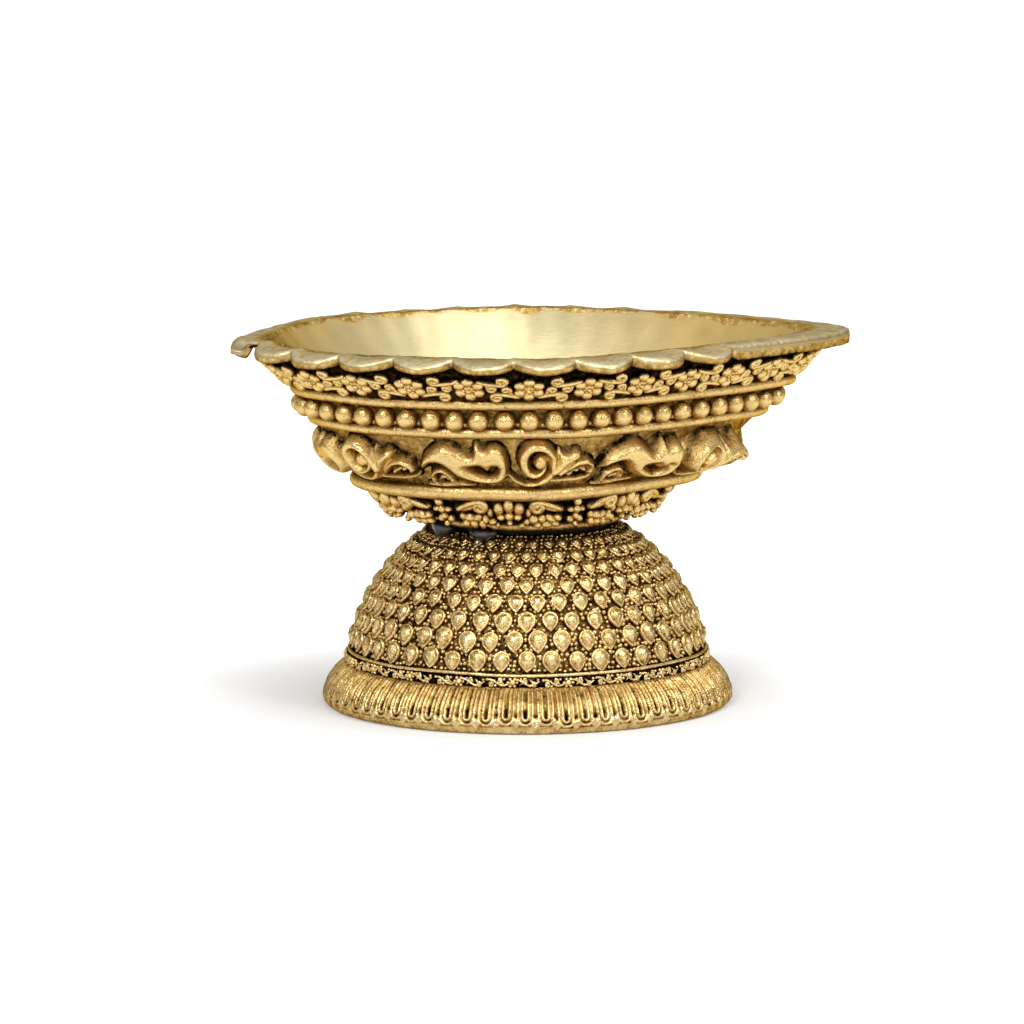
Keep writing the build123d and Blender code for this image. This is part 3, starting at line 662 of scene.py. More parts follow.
LEAF_INSIDE = [  # the inner wall from the middle of the floor to below the mouth
    (38.9, 0.0, 0.0, 0.0, 0.0), (38.9, 9.0, 9.0, 9.0, 0.0), (39.0, 13.6, 13.6, 13.6, 0.1),
    (44.4, 26.0, 24.4, 20.6, 0.9), (50.8, 35.0, 38.0, 26.0, 1.0), (59.2, 40.2, 47.0, 29.2, 1.0),
    (66.0, 45.9, 51.0, 34.9, 1.0),
]
LEAF_STEPS = 4001
ROUND_HANDLE = 0.5523  # handle with which a cubic curve draws a quarter circle
TAPER_HANDLES = (0.2523, 0.2923, 0.0523)  # what a full taper takes off at side, spout and back
TURN_STEP = 0.004  # turn to either side between which a direction is measured
LIP_SEED = 5
LIP_COLUMNS = 760
INSIDE_ROWS = 32
LOBES_PER_SIDE = 9
LOBE_FIRST_TURN = 0.54
LOBE_ARC = 1.75  # radius of a lobe's arc for half its chord
LOBE_PROUD = 3.4
LOBE_DROOP = 0.9
LOBE_THICKNESS = 2.0
LOBE_UNEVEN = (0.10, 0.25, 0.12)  # of how far a lobe stands out, droops and is thick
LOBE_NUMBERS = (30, 40, 80)  # number of the spout, first number of the other side, and their count
TIP_LOBE_WIDTH = 14.0
TIP_PROUD = LOBE_PROUD + 0.4
TIP_DROP = 3.4
TIP_HOOK = 0.7
TIP_THICKNESS = 1.1
SPOUT_THICKNESS = 2.9
FAR_RISE = 0.9
RISE_BAND = (59, 66)  # heights between which the wall begins to follow the lip's rise
MOUTH_SHARES = (0.15, 0.3, 0.42, 0.54, 0.66, 0.78, 0.9)
LIP_ROWS = [  # share of the way from mouth to edge, and drop
    (0.0, 0.25), (0.05, 0.12), (0.14, 0.03), (0.3, 0.0), (0.5, 0.0),
    (0.68, 0.05), (0.82, 0.15), (0.92, 0.32), (0.98, 0.56),
]
EDGE_ROWS = [  # share of the thickness, set back and relief
    (0.42, 0.02, 0.92), (0.55, 0.0, 0.84), (0.68, 0.04, 0.78),
    (0.8, 0.12, 0.74), (0.92, 0.3, 0.66), (1.0, 0.55, 0.5),
]
UNDERSIDE_SHARES = (0.15, 0.4, 0.7, 1.0)
WALL_SHARES = (0.2, 0.4, 0.6, 0.8, 1.0)
SPOUT_GOLD = (50.5, 53.5)  # reach and height over which the wall by the spout turns golden
SPOUT_GOLD_HEIGHTS = (60, 63)
BUFFED_RELIEF = 0.88  # relief that marks the buffed inside
WALL_TARNISH = [  # height and relief of the outer wall
    (36, 0.17), (41, 0.17), (43, 0.44), (46, 0.58), (51, 0.70), (52.4, 0.74),
    (53.6, 0.76), (54.0, 0.4), (56, 0.4), (58.5, 0.4), (60, 0.19), (66, 0.16),
]
UP = np.array([0, 0, 1.0])


def leaf_points(leaf, turn):
    """Leaf outline: four cubic curves from the spout's tip by one side to the back and round again,
    one to each whole turn from 0 to 4; the taper draws the spout end to a point."""
    z, back, front, half, taper = leaf
    side, tip, rear = (ROUND_HANDLE - less * taper for less in TAPER_HANDLES)
    fold = np.mod(turn, 4)
    sign = np.where(fold > 2, -1.0, 1.0)
    fold = np.where(fold > 2, 4 - fold, fold)
    t = np.where(fold > 1, fold - 1, fold)
    b0, b1, b2, b3 = (1 - t) ** 3, 3 * t * (1 - t) ** 2, 3 * t**2 * (1 - t), t**3
    x = np.where(fold > 1, -back * (b1 * rear + b2 + b3), front * (b0 + b1 + b2 * side))
    y = np.where(fold > 1, half * (b0 + b1 + b2 * rear), half * (b1 * tip + b2 + b3))
    return np.stack([x, sign * y, z + 0 * x], -1)


def leaf_scale(leaf):
    """Turns from 0 to 4 and the length of outline run at each."""
    turn = np.linspace(0, 4, LEAF_STEPS)
    return turn, run_along(leaf_points(leaf, turn))


def turns_round(leaf, shares):
    """Turns at which shares of the whole outline have been run."""
    scale, run = leaf_scale(leaf)
    return np.interp(shares * run[-1], run, scale)


def forward(leaf, turn):
    """Level unit vector along the outline."""
    along = leaf_points(leaf, turn + TURN_STEP) - leaf_points(leaf, turn - TURN_STEP)
    return along / np.linalg.norm(along, axis=-1, keepdims=True)


def outward(leaf, turn):
    """Level unit vector square to the outline, pointing away from the bowl."""
    along = forward(leaf, turn)
    return np.stack([along[..., 1], -along[..., 0], 0 * along[..., 0]], -1)


def lobe_swell(turn):
    """Swell of the lip, 0 in the notches and 1 mid lobe, as arcs of a circle; the spout has none.
    Also the number of the lobe, for its seeded unevenness, and whether it is the tip lobe."""
    scale, run = leaf_scale(LEAF_LIP)
    other_side = np.mod(turn, 4) > 2
    half_turn = np.where(other_side, 4 - np.mod(turn, 4), np.mod(turn, 4))
    place = np.interp(half_turn, scale, run)
    start = np.interp(LOBE_FIRST_TURN, scale, run)
    end = np.interp(2.0, scale, run) - TIP_LOBE_WIDTH / 2
    width = (end - start) / LOBES_PER_SIDE
    number = np.floor((place - start) / width)
    tip = place > end
    share = np.where(tip, (place - end) / TIP_LOBE_WIDTH, (place - start) / width - number)
    chord = np.abs(2 * share - 1)
    flat = math.sqrt(LOBE_ARC**2 - 1)
    arc = (np.sqrt(LOBE_ARC**2 - chord**2) - flat) / (LOBE_ARC - flat)
    swell = np.where(place < start, 0, np.clip(arc, 0, 1))
    number = np.where(place < start, LOBE_NUMBERS[0], np.clip(number, 0, 10))
    return swell, number + np.where(other_side, LOBE_NUMBERS[1], 0), tip


def bowl_surface():
    """Grid of columns round the lip and rows over the section: floor, inner wall, lip, outer edge,
    underside of the lip, then the outer wall level by level to the base."""
    turn = turns_round(LEAF_LIP, np.linspace(0, 1, LIP_COLUMNS, endpoint=False))
    swell, number, tip = lobe_swell(turn)
    uneven = np.random.default_rng(LIP_SEED).uniform(-1, 1, (3, LOBE_NUMBERS[2]))[:, number.astype(int)]
    uneven = uneven * np.array(LOBE_UNEVEN)[:, None]
    proud = np.where(tip, TIP_PROUD, LOBE_PROUD * (1 + uneven[0])) * swell
    droop = np.where(tip, 0.0, LOBE_DROOP * (1 + uneven[1])) * swell
    spout = 1 - smoothstep(LOBE_FIRST_TURN - 0.02, LOBE_FIRST_TURN, np.minimum(turn, 4 - turn))
    thick = np.where(tip, TIP_THICKNESS, LOBE_THICKNESS * (1 + uneven[2]))
    thick = thick + (SPOUT_THICKNESS - thick) * spout
    away = outward(LEAF_LIP, turn)
    mouth, lip = leaf_points(LEAF_MOUTH, turn), leaf_points(LEAF_LIP, turn)
    rise = FAR_RISE * smoothstep(5, 35, lip[:, 1]) + 0.2 * np.sin(7 * turn) * np.sin(3 * turn + 1)
    rise = rise + 0.1 * np.sin(41 * turn) * np.sin(29 * turn)
    rows, relief = [], []

    def level(leaf):
        return leaf_points(leaf, turn) + UP * (rise * smoothstep(*RISE_BAND, leaf[0]))[:, None]

    inner = resampled(LEAF_INSIDE, INSIDE_ROWS)
    top = [inner[-1] + (LEAF_MOUTH - inner[-1]) * share for share in MOUTH_SHARES]
    ragged = 0.6 + 0.16 * np.sin(23 * turn) * np.sin(11 * turn + 1) + 0.1 * np.sin(47 * turn)
    for leaf in (*inner, *top):
        rows.append(level(leaf))
        relief.append(BUFFED_RELIEF - 0.1 * smoothstep(-0.1, 0.1, (leaf[0] - inner[-1][0]) / 2.5 - ragged))
    rows[0][:] = (0, 0, inner[0][0])
    edge = lip + away * proud[:, None]
    hook = np.where(tip, TIP_DROP * smoothstep(0.25, 0.75, swell), 0)
    for share, drop in LIP_ROWS:
        sag = droop * share**1.6 + hook * smoothstep(0.88, 1.04, share) + 0.4 * swell * (1 - share)
        rows.append(mouth + (edge - mouth) * share + UP * (rise - drop - sag)[:, None])
        relief.append(np.full(len(turn), 0.8 + 0.17 * smoothstep(0.0, 0.3, share)))
    for depth, back, worn in EDGE_ROWS:
        inward = back * (1 - 0.7 * spout) + np.where(tip, depth * TIP_HOOK, 0)
        lower = rise - depth * np.maximum(thick, hook) - droop
        rows.append(edge - away * inward[:, None] + UP * lower[:, None])
        relief.append(np.full(len(turn), worn))
    rim = leaf_points(LEAF_RIM, turn) + UP * rise[:, None]
    gold_end = 0.7 * smoothstep(*SPOUT_GOLD, rim[:, 0])
    ceiling = LEAF_LIP[0] + rise - 1.02 * thick - droop
    for share in UNDERSIDE_SHARES:
        point = edge + (rim - edge) * share
        point[:, 2] = ceiling + (rim[:, 2] - ceiling) * share ** np.where(tip, 6.0, 2.0)
        rows.append(point)
        relief.append(np.maximum(np.where(tip, 0.62, 0.3 - 0.25 * share), gold_end))
    levels = np.array([LEAF_RIM, LEAF_SHOULDER, LEAF_COVE, LEAF_BELLY, LEAF_WAIST, LEAF_SKIRT, LEAF_BASE])
    for high, low in zip(levels, levels[1:]):
        for share in WALL_SHARES:
            leaf = high + (low - high) * share
            rows.append(level(leaf))
            plain = np.interp(leaf[0], *np.transpose(WALL_TARNISH))
            relief.append(np.maximum(plain, gold_end * smoothstep(*SPOUT_GOLD_HEIGHTS, leaf[0])))
    rows.append(np.broadcast_to((0, 0, LEAF_BASE[0]), rim.shape))
    relief.append(np.full(len(turn), 0.04))
    return surface(np.stack(rows), np.stack(relief), wrap_rows=False)


def buffed_brass_finish():
    """Pale brass buffed on a wheel: fine level brush marks 0.15 mm apart and soft clouds 8 mm wide on
    the buffed parts, with a painted highlight, a pale patch at the middle of the far wall; the cast lip
    and outside are blotched and lumpy, and go black where the relief attribute falls away."""
    material, tree, shader = fresh_material("buffed_brass")
    place = add(tree, "TexCoord").outputs["Object"]
    relief = add(tree, "Attribute", attribute_name="relief").outputs["Fac"]
    stretched = add(tree, "Mapping", {"Vector": place, "Scale": (0.06, 0.06, 1.0)})
    marks = add(tree, "TexNoise", {"Vector": stretched, "Scale": per_mm(0.15), "Detail": 3.0})
    clouds = add(tree, "TexNoise", {"Vector": place, "Scale": per_mm(8), "Detail": 3.0})
    grain = add(tree, "TexNoise", {"Vector": place, "Scale": per_mm(0.3), "Detail": 3.0})
    pits = add(tree, "TexNoise", {"Vector": place, "Scale": per_mm(1.1), "Detail": 3.0, "Roughness": 0.65})
    apart = add(tree, "Math", (relief, BUFFED_RELIEF), operation="SUBTRACT")
    apart = add(tree, "Math", (apart,), operation="ABSOLUTE")
    cast = add(tree, "MapRange", (apart, 0.02, 0.08))
    blotch = add(tree, "MapRange", (pits, 0.3, 0.7, 0.22, -0.22))
    held = add(tree, "MapRange", (relief, 0.82, 0.95, 1.0, 0.4))
    dirt = add(tree, "Math", (cast, blotch), operation="MULTIPLY")
    dirt = add(tree, "Math", (dirt, held), operation="MULTIPLY")
    worn = add(tree, "Math", (relief, dirt), operation="ADD", use_clamp=True)
    colour = add(tree, "ValToRGB", (worn,), [(0.08, "#080502"), (0.35, "#4C3816"), (0.72, "#A88546"),
                                             (0.88, "#C0A568"), (1.0, "#CFC3A3")])
    # Painted highlight: a pale patch on the buffed inside, centred where the top light is mirrored on the far
    # wall, its edge wandering with the clouds.
    middle = add(tree, "VectorMath", (place, (-0.004, 0.030, 0.060)), operation="DISTANCE")
    highlight_distance = add(tree, "Math", (clouds, 0.02, middle), operation="MULTIPLY_ADD")
    painted_highlight = add(tree, "MapRange", (highlight_distance, 0.052, 0.026))
    inside = add(tree, "MapRange", (relief, 0.80, 0.87))
    painted_highlight = add(tree, "Math", (painted_highlight, inside), operation="MULTIPLY")
    colour = add(tree, "Mix", {"Factor": painted_highlight, "A": colour, "B": linear("#BDB087")}, data_type="RGBA")
    shade = add(tree, "MapRange", (clouds, 0.3, 0.7, 0.88, 1.06))
    tinted = add(tree, "Mix", {"Factor": 1.0, "A": colour, "B": shade},
                 data_type="RGBA", blend_type="MULTIPLY")
    metal = add(tree, "MapRange", (worn, 0.05, 0.35, 0.85, 1.0))
    smooth = add(tree, "MapRange", (marks, 0.25, 0.75, 0.32, 0.46))
    lumps = add(tree, "Math", (pits, 3.0, grain), operation="MULTIPLY_ADD")
    lumps = add(tree, "Math", (lumps, 2.0), operation="SUBTRACT")
    lumps = add(tree, "Math", (lumps, cast), operation="MULTIPLY")
    waves = add(tree, "Math", (clouds, 1.6, lumps), operation="MULTIPLY_ADD")
    height = add(tree, "Math", (marks, 0.35, waves), operation="MULTIPLY_ADD")
    bump = add(tree, "Bump", {"Height": height, "Strength": 0.4, "Distance": 0.0002})
    connect(tree, shader, {"Base Color": tinted, "Specular Tint": tinted, "Metallic": metal,
                           "Roughness": smooth, "Normal": bump})
    return material


buffed_brass = buffed_brass_finish()
piece("bowl_leaf_cup", [bowl_surface()], buffed_brass, "buffed_brass", "bowl_shell")

# Plain wires: three rings of drawn brass wire bent to the leaf and soldered on, the lowest the
# thickest. Handling has rubbed their crowns bright, and dirt lies along both edges.
bowl_trim_brass = antiqued_brass("antiqued_bowl_trim_brass", "#120C06", "#8E703D", "#CDAB6C", "#D9BC7D", 0.14)
WIRES = {"upper_wire": (LEAF_SHOULDER, 1.1), "middle_wire": (LEAF_COVE, 1.1), "lower_wire": (LEAF_BELLY, 1.4)}
WIRE_STEPS = 420
WIRE_SIDES = 16


def leaf_wire_surface(leaf, radius, seed):
    """Round section carried along the leaf outline, its radius and height wavering slightly."""
    turn = turns_round(leaf, np.linspace(0, 1, WIRE_STEPS, endpoint=False))
    waver = 0.07 * np.sin(turn * 9 + seed) + 0.05 * np.sin(turn * 17 + 2 * seed)
    a = circle(WIRE_SIDES)[None, :, None]
    ring = leaf_points(leaf, turn)[:, None]
    away = outward(leaf, turn)[:, None]
    size = radius * (1 + 0.3 * waver)[:, None, None]
    points = ring + size * (away * np.cos(a) + UP * np.sin(a)) + UP * waver[:, None, None]
    return surface(points, np.clip(0.32 + 0.46 * np.cos(a[..., 0] - 0.15), 0, 1))


for seed, (name, (leaf, radius)) in enumerate(WIRES.items()):
    piece(name + "_bent", [leaf_wire_surface(leaf, radius, seed)], bowl_trim_brass, "antique_brass", name)

# Beads: a row of cast balls between two wires, each a little different and sunk in a black channel,
# with a pin-head of brass low down between neighbours.
BEAD_SEED = 21
BEAD_RADIUS = 1.9
BEAD_COUNT = 51
BEAD_PHASE = 0.22
BEAD_SHIFT = 0.06
BEAD_SIZES = (0.95, 1.04)
BEAD_GRID = (12, 18)  # rows and columns of a bead, then of a pin
PIN_GRID = (4, 6)
PIN_RADIUS = 0.42
PIN_SHIFT = 0.12
PIN_DROP = 0.9
LEAF_BEADS = (56.2, 41.6, 47.0, 31.2, 1.0)


def bead_surfaces():
    """Balls at even steps along the leaf outline, squashed and shifted by seeded amounts."""
    rng = np.random.default_rng(BEAD_SEED)
    turn = turns_round(LEAF_BEADS, (np.arange(BEAD_COUNT) + BEAD_PHASE) / BEAD_COUNT)
    centre = leaf_points(LEAF_BEADS, turn) + rng.normal(0, BEAD_SHIFT, (BEAD_COUNT, 3))
    unit = ball((0, 0, 0), (1, 1, 1), *BEAD_GRID).reshape(-1, 3)
    size = BEAD_RADIUS * rng.uniform(*BEAD_SIZES, (BEAD_COUNT, 1, 3))
    facing = outward(LEAF_BEADS, turn) @ unit.T
    # Relief: brighter on the outward face, which handling rubs, and dark on the side sunk in the black
    # channel; the small rise towards the top is a painted highlight.
    relief = np.clip(0.52 + 0.42 * facing + 0.08 * unit[:, 2], 0, 1)
    beads = repeated(relief, centre[:, None] + size * unit, BEAD_GRID[1], BEAD_GRID[0] + 1)
    gap = turns_round(LEAF_BEADS, (np.arange(BEAD_COUNT) + BEAD_PHASE + 0.5) / BEAD_COUNT)
    pin = leaf_points(LEAF_BEADS, gap) + rng.normal(0, PIN_SHIFT, (BEAD_COUNT, 3)) - (0, 0, PIN_DROP)
    small = ball((0, 0, 0), (1, 1, 1), *PIN_GRID).reshape(-1, 3)
    corners = pin[:, None] + PIN_RADIUS * small
    # The pin-heads' relief rises towards their tops: a painted highlight.
    return [beads, repeated(0.45 + 0.2 * small[:, 2], corners, PIN_GRID[1], PIN_GRID[0] + 1)]


piece("bead_row_balls", bead_surfaces(), bowl_trim_brass, "antique_brass", "bead_row")

# Upper flower band: six-petalled flowers on S tendrils, cast as openwork and soldered to the flare;
# the tendril runs over one flower and under the next, and ends in curls like fern heads.
FLOWER_COUNT = 24
FLOWER_TOP = 1.15
FLOWER_PETALS = ((1.9, 1.85, 0.6), (1.1, 1.12, 0.75))  # reach along, up and out, and radii
FLOWER_HEART = ((0.9, 0.88, 1.0), (0.31, 0.31, 0.34))
ARM_EYE = (5.9, -2.2)  # middle of the large curl, from the flower's heart
ARM_RADIUS = 0.52
TWIG_RADIUS = 0.45
TENDRIL_LIFT = 0.55
TENDRIL_DEPTH = 1.25  # thickness of a tendril for its width


def halfway(low, high):
    """Leaf level midway between two others."""
    return np.add(low, high) / 2


def on_wall(low, high, along, up, out):
    """Point on the sloping wall between two leaf levels: millimetres along its middle outline from
    the spout, up the slope from the middle, and out square to the wall."""
    middle = halfway(low, high)
    scale, run = leaf_scale(middle)
    turn = np.interp(np.mod(along, run[-1]), run, scale)
    ahead = forward(middle, turn)
    foot = leaf_points(low, turn)
    rise = leaf_points(high, turn) - foot
    slope = np.linalg.norm(rise, axis=-1, keepdims=True)
    steep = rise - ahead * np.sum(rise * ahead, axis=-1, keepdims=True)
    steep /= np.linalg.norm(steep, axis=-1, keepdims=True)
    normal = np.cross(ahead, steep)
    return foot + rise * (0.5 + up[..., None] / slope) + normal * out[..., None]


def girth(low, high):
    """Length round the outline halfway between two leaf levels."""
    return leaf_scale(halfway(low, high))[1][-1]


def flower_grids(middle, flip):
    """One flower with its tendril: six petals, a heart of seven beads, two arms that leave the edge
    of the flower and end in large curls, and a small curl on each arm. A flip of -1 puts the tendril
    on top."""
    grids = wreath(middle, *FLOWER_PETALS, 6, 10, np.pi / 2, fan=True)
    grids.append(ball((middle, 0, 0.5), (1.4, 1.35, 0.65), 6, 10))
    grids.append(ball((middle, 0, 1.1), (0.5, 0.5, 0.48), 5, 8))
    grids += wreath(middle, *FLOWER_HEART, 4, 6)
    far, low = ARM_EYE
    for side in (-1, 1):
        arm = curl((side * 1.4, -2.2), (side * far, -0.5), (side * far, low), 0.98, -side * 1.4, 34, 2.2)
        twig = curl((side * 3.0, -1.7), (side * 3.2, -0.2), (side * 4.1, -0.2), 0.74, -side * 1.25, 26)
        for path, radius in ((arm, ARM_RADIUS), (twig, TWIG_RADIUS)):
            path = path * (1, flip) + (middle, 0)
            grids.append(tube(path, tapered(len(path), radius), TENDRIL_LIFT, 7, TENDRIL_DEPTH))
        grids.append(ball((middle + side * far, flip * (low - 0.05), 0.4), (0.45, 0.45, 0.45), 5, 8))
    return grids


def flower_band():
    """Pairs of flowers, one with the tendril above and one with it below, laid round the flare."""
    length = girth(LEAF_SHOULDER, LEAF_RIM)
    step = length / FLOWER_COUNT
    grids = flower_grids(step / 2, -1.0) + flower_grids(step * 1.5, 1.0)

    def place(along, up, out):
        return on_wall(LEAF_SHOULDER, LEAF_RIM, along, up, out)

    return spread(grids, FLOWER_COUNT // 2, length, place, FLOWER_TOP)


piece("upper_flower_band_vine", flower_band(), bowl_trim_brass, "antique_brass", "upper_flower_band")

# Scroll band: heavy acanthus on the belly, cast in high relief and soldered: an S wave with a thorn
# and a small volute, then a spiral with two fronds, turn about. Deep hollows are black.
SCROLL_REACH = (0.9, 4.0)  # how much further the forms stand out at the back and at the spout
SCROLL_DROP = 1.1
SCROLL_STRETCH = 1.13
SCROLL_GRID = (58, 960)
SCROLL_BAND = (-4.8, 5.5)  # lower and upper edge, from the middle of the wall
SCROLL_SUNK = 0.8  # depth of the band's back in the wall
SCROLL_MARGIN = 0.06  # height of the margin round the forms, and of the ground beyond it
SCROLL_GROUND = -0.4
SCROLL_FILL = 0.75  # share of the swelling at the spout that the ground takes up
MOTIF_REACH = 13
FORM_TOP = 2.6  # height of an outlined form and width of its rounded edge, then that of a stroke
FORM_BEVEL = 1.3
STROKE_BEVEL = 0.7
SCROLL_PLACES = [  # motif, distance from the back tip, and climb towards the spout
    ("wave", 0.8, 0.0), ("spiral", 13.8, 0.0), ("wave", 33.9, 0.0),
    ("spiral", 46.5, 0.0), ("wave", 66.9, 0.0), ("spiral", 80.6, 0.22),
]
WAVE_BODY = [  # outline along and up the wall in millimetres, from the tail over the crests and back
    (-8.6, -0.2), (-8.2, 1.2), (-7.3, 2.8), (-6.0, 4.0), (-4.6, 4.9), (-3.1, 5.3), (-1.9, 5.1),
    (-0.8, 4.5), (0.2, 3.8), (1.2, 3.3), (1.9, 3.6), (2.3, 5.5), (2.9, 5.5), (3.4, 4.4), (3.8, 4.4),
    (4.8, 5.1), (6.0, 5.2), (7.0, 4.5), (7.6, 3.1), (7.9, 1.4), (7.7, -0.3), (7.1, -1.4), (5.8, -2.0),
    (4.0, -2.1), (2.2, -2.0), (0.5, -1.6), (-1.0, -1.1), (-2.0, -0.6), (-2.7, 0.3), (-3.4, 1.1),
    (-4.3, 1.7), (-5.4, 1.7), (-6.5, 1.4), (-7.6, 0.6),
]
WAVE_EYE = [  # hollow in the wave's second crest
    (0.4, 0.9), (1.4, 0.3), (2.7, -0.2), (3.9, -0.6), (5.1, -0.2), (5.8, 0.5), (5.7, 1.1),
    (5.0, 1.1), (4.4, 0.4), (4.0, 0.0), (3.6, 0.3), (3.1, 1.0), (2.7, 1.2), (1.5, 1.1),
]
WAVE_STROKES = [  # points along and up, their half widths, and the height
    ([(-6.9, -2.3), (-6.7, -0.9), (-5.6, 0.1), (-4.4, 0.3), (-3.4, -0.5), (-3.0, -1.9)],
     (0.4, 0.45, 0.5, 0.5, 0.5, 0.45), 2.0),
    ([(-5.4, -1.7), (-4.9, -0.9), (-4.2, -1.0), (-4.0, -1.8)], (0.3, 0.35, 0.35, 0.3), 1.9),
    ([(-8.4, -3.0), (-5.0, -2.9), (-1.5, -2.5), (1.0, -2.7)], (0.3, 0.5, 0.6, 0.3), 1.2),
]
SPIRAL_FROND = [
    (3.2, 1.1), (3.5, 2.3), (3.5, 3.7), (3.7, 4.3), (4.3, 3.5), (5.5, 3.6), (6.5, 4.2), (7.3, 4.0),
    (7.7, 3.3), (7.2, 2.5), (6.1, 1.7), (5.1, 0.6), (4.0, -0.4), (2.9, -1.2), (2.0, -1.5), (2.3, -0.3),
]
SPIRAL_STROKES = [
    ([(2.9, 0.2), (2.8, 2.9), (2.0, 4.2), (0.9, 4.9), (-0.3, 5.0), (-1.4, 4.4), (-2.1, 3.2),
      (-2.2, 1.8), (-1.7, 0.5), (-0.7, -0.3), (0.5, -0.2), (1.5, 0.6), (1.8, 1.7)],
     (0.7, 0.75, 0.8, 0.85, 0.95, 1.0, 1.05, 1.0, 0.9, 0.72, 0.55, 0.42, 0.3), 2.7),
    ([(0.6, 1.9), (0.8, 2.2)], (1.25, 1.2), 2.4),
    ([(-5.0, -0.4), (-3.8, -1.5), (-2.0, -2.2), (0.0, -2.1), (1.8, -1.3), (3.0, 0.0)],
     (0.3, 0.4, 0.45, 0.55, 0.8, 0.8), 2.2),
    ([(4.2, -0.5), (5.6, 0.8), (7.2, 1.8), (8.7, 2.0), (9.9, 1.2), (10.1, 0.2), (9.6, -0.2)],
     (0.4, 0.5, 0.6, 0.65, 0.6, 0.5, 0.35), 2.4),
    ([(2.4, -1.7), (4.6, -1.6), (7.2, -1.6), (9.4, -1.3), (10.7, -0.9)], (0.35, 0.4, 0.4, 0.35, 0.25), 1.7),
    ([(5.9, -0.5), (6.3, -0.2)], (0.55, 0.5), 1.7),
    ([(7.2, 0.2), (7.4, 0.3)], (0.5, 0.5), 1.8),
    ([(8.5, 0.5), (8.6, 0.4)], (0.6, 0.6), 1.9),
]
MOTIFS = {"wave": ([WAVE_BODY, WAVE_EYE], WAVE_STROKES), "spiral": ([SPIRAL_FROND], SPIRAL_STROKES)}


def bevelled(inside, top, bevel):
    """Height of a flat-topped form with rounded edges, from the distance inside its outline."""
    rest = np.clip(1 - inside / bevel, 0, 1)
    return np.where(inside > 0, top * np.sqrt(1 - rest**2), 0)


def outline_depth(x, y, loops):
    """Distance inside a form drawn by closed loops, the later ones holes; negative outside."""
    nearest = np.full(x.shape, 99.0)
    crossings = np.zeros(x.shape)
    for loop in loops:
        points = resampled(loop + loop[:1], 110, 4)[:-1]
        for (x0, y0), (x1, y1) in zip(points, np.roll(points, -1, axis=0)):
            dx, dy = x1 - x0, y1 - y0
            t = np.clip(((x - x0) * dx + (y - y0) * dy) / max(dx**2 + dy**2, 1e-9), 0, 1)
            nearest = np.minimum(nearest, np.hypot(x - x0 - t * dx, y - y0 - t * dy))
            cut = (y0 > y) != (y1 > y)
            crossings += cut & (x < x0 + (y - y0) * dx / (dy if dy else 1.0))
    return np.where(crossings % 2 == 1, nearest, -nearest)


def stroke_depth(x, y, points, widths):
    """Distance inside a stroke that swells and thins along a rounded line."""
    line = np.column_stack([points, widths])
    line = resampled(line, 70, 10) if len(points) > 2 else line
    depth = np.full(x.shape, -99.0)
    for px, py, half in line:
        depth = np.maximum(depth, half - np.hypot(x - px, y - py))
    return depth


def motif_height(kind, x, y):
    """Height of one motif: the outlined form and its strokes, whichever stands higher."""
    loops, strokes = MOTIFS[kind]
    y = (y + SCROLL_DROP) / SCROLL_STRETCH
    height = bevelled(outline_depth(x, y, loops), FORM_TOP, FORM_BEVEL)
    for points, widths, top in strokes:
        height = np.maximum(height, bevelled(stroke_depth(x, y, points, widths), top, STROKE_BEVEL))
    return height


def scroll_band():
    """The motifs' heights on a fine grid, the run from the back tip to the spout drawn once and
    mirrored for the other side, laid on the wall. A thin dark margin rings the forms, the ground
    beyond it sinks into the wall, and towards the spout all of it swells out."""
    length = girth(LEAF_BELLY, LEAF_COVE)
    rows, columns = SCROLL_GRID
    along = np.linspace(0, length, columns, endpoint=False)[None, :]
    up = np.linspace(*SCROLL_BAND, rows)[:, None]
    half_run = np.linspace(0, length / 2, columns // 2 + 1)[None, :]
    field = np.zeros((rows, columns // 2 + 1))
    for kind, middle, climb in SCROLL_PLACES:
        near = np.abs(half_run[0] - middle) < MOTIF_REACH
        x, y = np.broadcast_arrays(half_run[:, near] - middle, up)
        field[:, near] = np.maximum(field[:, near], motif_height(kind, x, y - climb * np.maximum(x, 0)))
    height = field[:, np.abs(np.arange(columns) - columns // 2)]
    towards = np.cos(2 * np.pi * along / length)
    swell = np.clip(1 - ((up - 0.9) / 5.6) ** 2, 0, 1) * smoothstep(5.5, 3.6, up)
    ends = np.where(towards > 0, SCROLL_REACH[1], SCROLL_REACH[0]) * towards**2 * swell
    margin = (height > 0).astype(float)
    for axis in (0, 1) * 4:
        margin = np.maximum(margin, (np.roll(margin, 1, axis) + np.roll(margin, -1, axis)) / 2)
    backing = np.where(margin > 0.1, SCROLL_MARGIN, SCROLL_GROUND)
    backing = backing + SCROLL_FILL * ends * (towards > 0) * smoothstep(4.0, 0.8, up)
    out = np.where(height > 0, height + ends, backing)
    for axis in (1, 0, 1):
        out = (np.roll(out, 1, axis) + 2 * out + np.roll(out, -1, axis)) / 4
    wide, tall = np.broadcast_arrays(along, up)
    points = on_wall(LEAF_BELLY, LEAF_COVE, wide, tall, out)
    back = on_wall(LEAF_BELLY, LEAF_COVE, wide, tall, np.full(out.shape, -SCROLL_SUNK))
    # Painted shade: the forms' upward-facing top edges, where the height falls going up, are made a little
    # darker.
    top_edge_shade = np.clip(-np.gradient(height, up[:, 0], axis=0), 0, 1)
    raised = 0.36 + 0.6 * np.clip(height / 2.4, 0, 1) - 0.1 * top_edge_shade
    relief = np.where(height > 0, raised, 0.14 + 0.33 * smoothstep(0.5, 2.5, ends))
    relief = np.concatenate([relief, 0 * relief[:2]])
    return surface(np.concatenate([points, back[[-1, 0]]]), relief)


piece("scroll_band_acanthus", [scroll_band()], bowl_trim_brass, "antique_brass", "scroll_band")

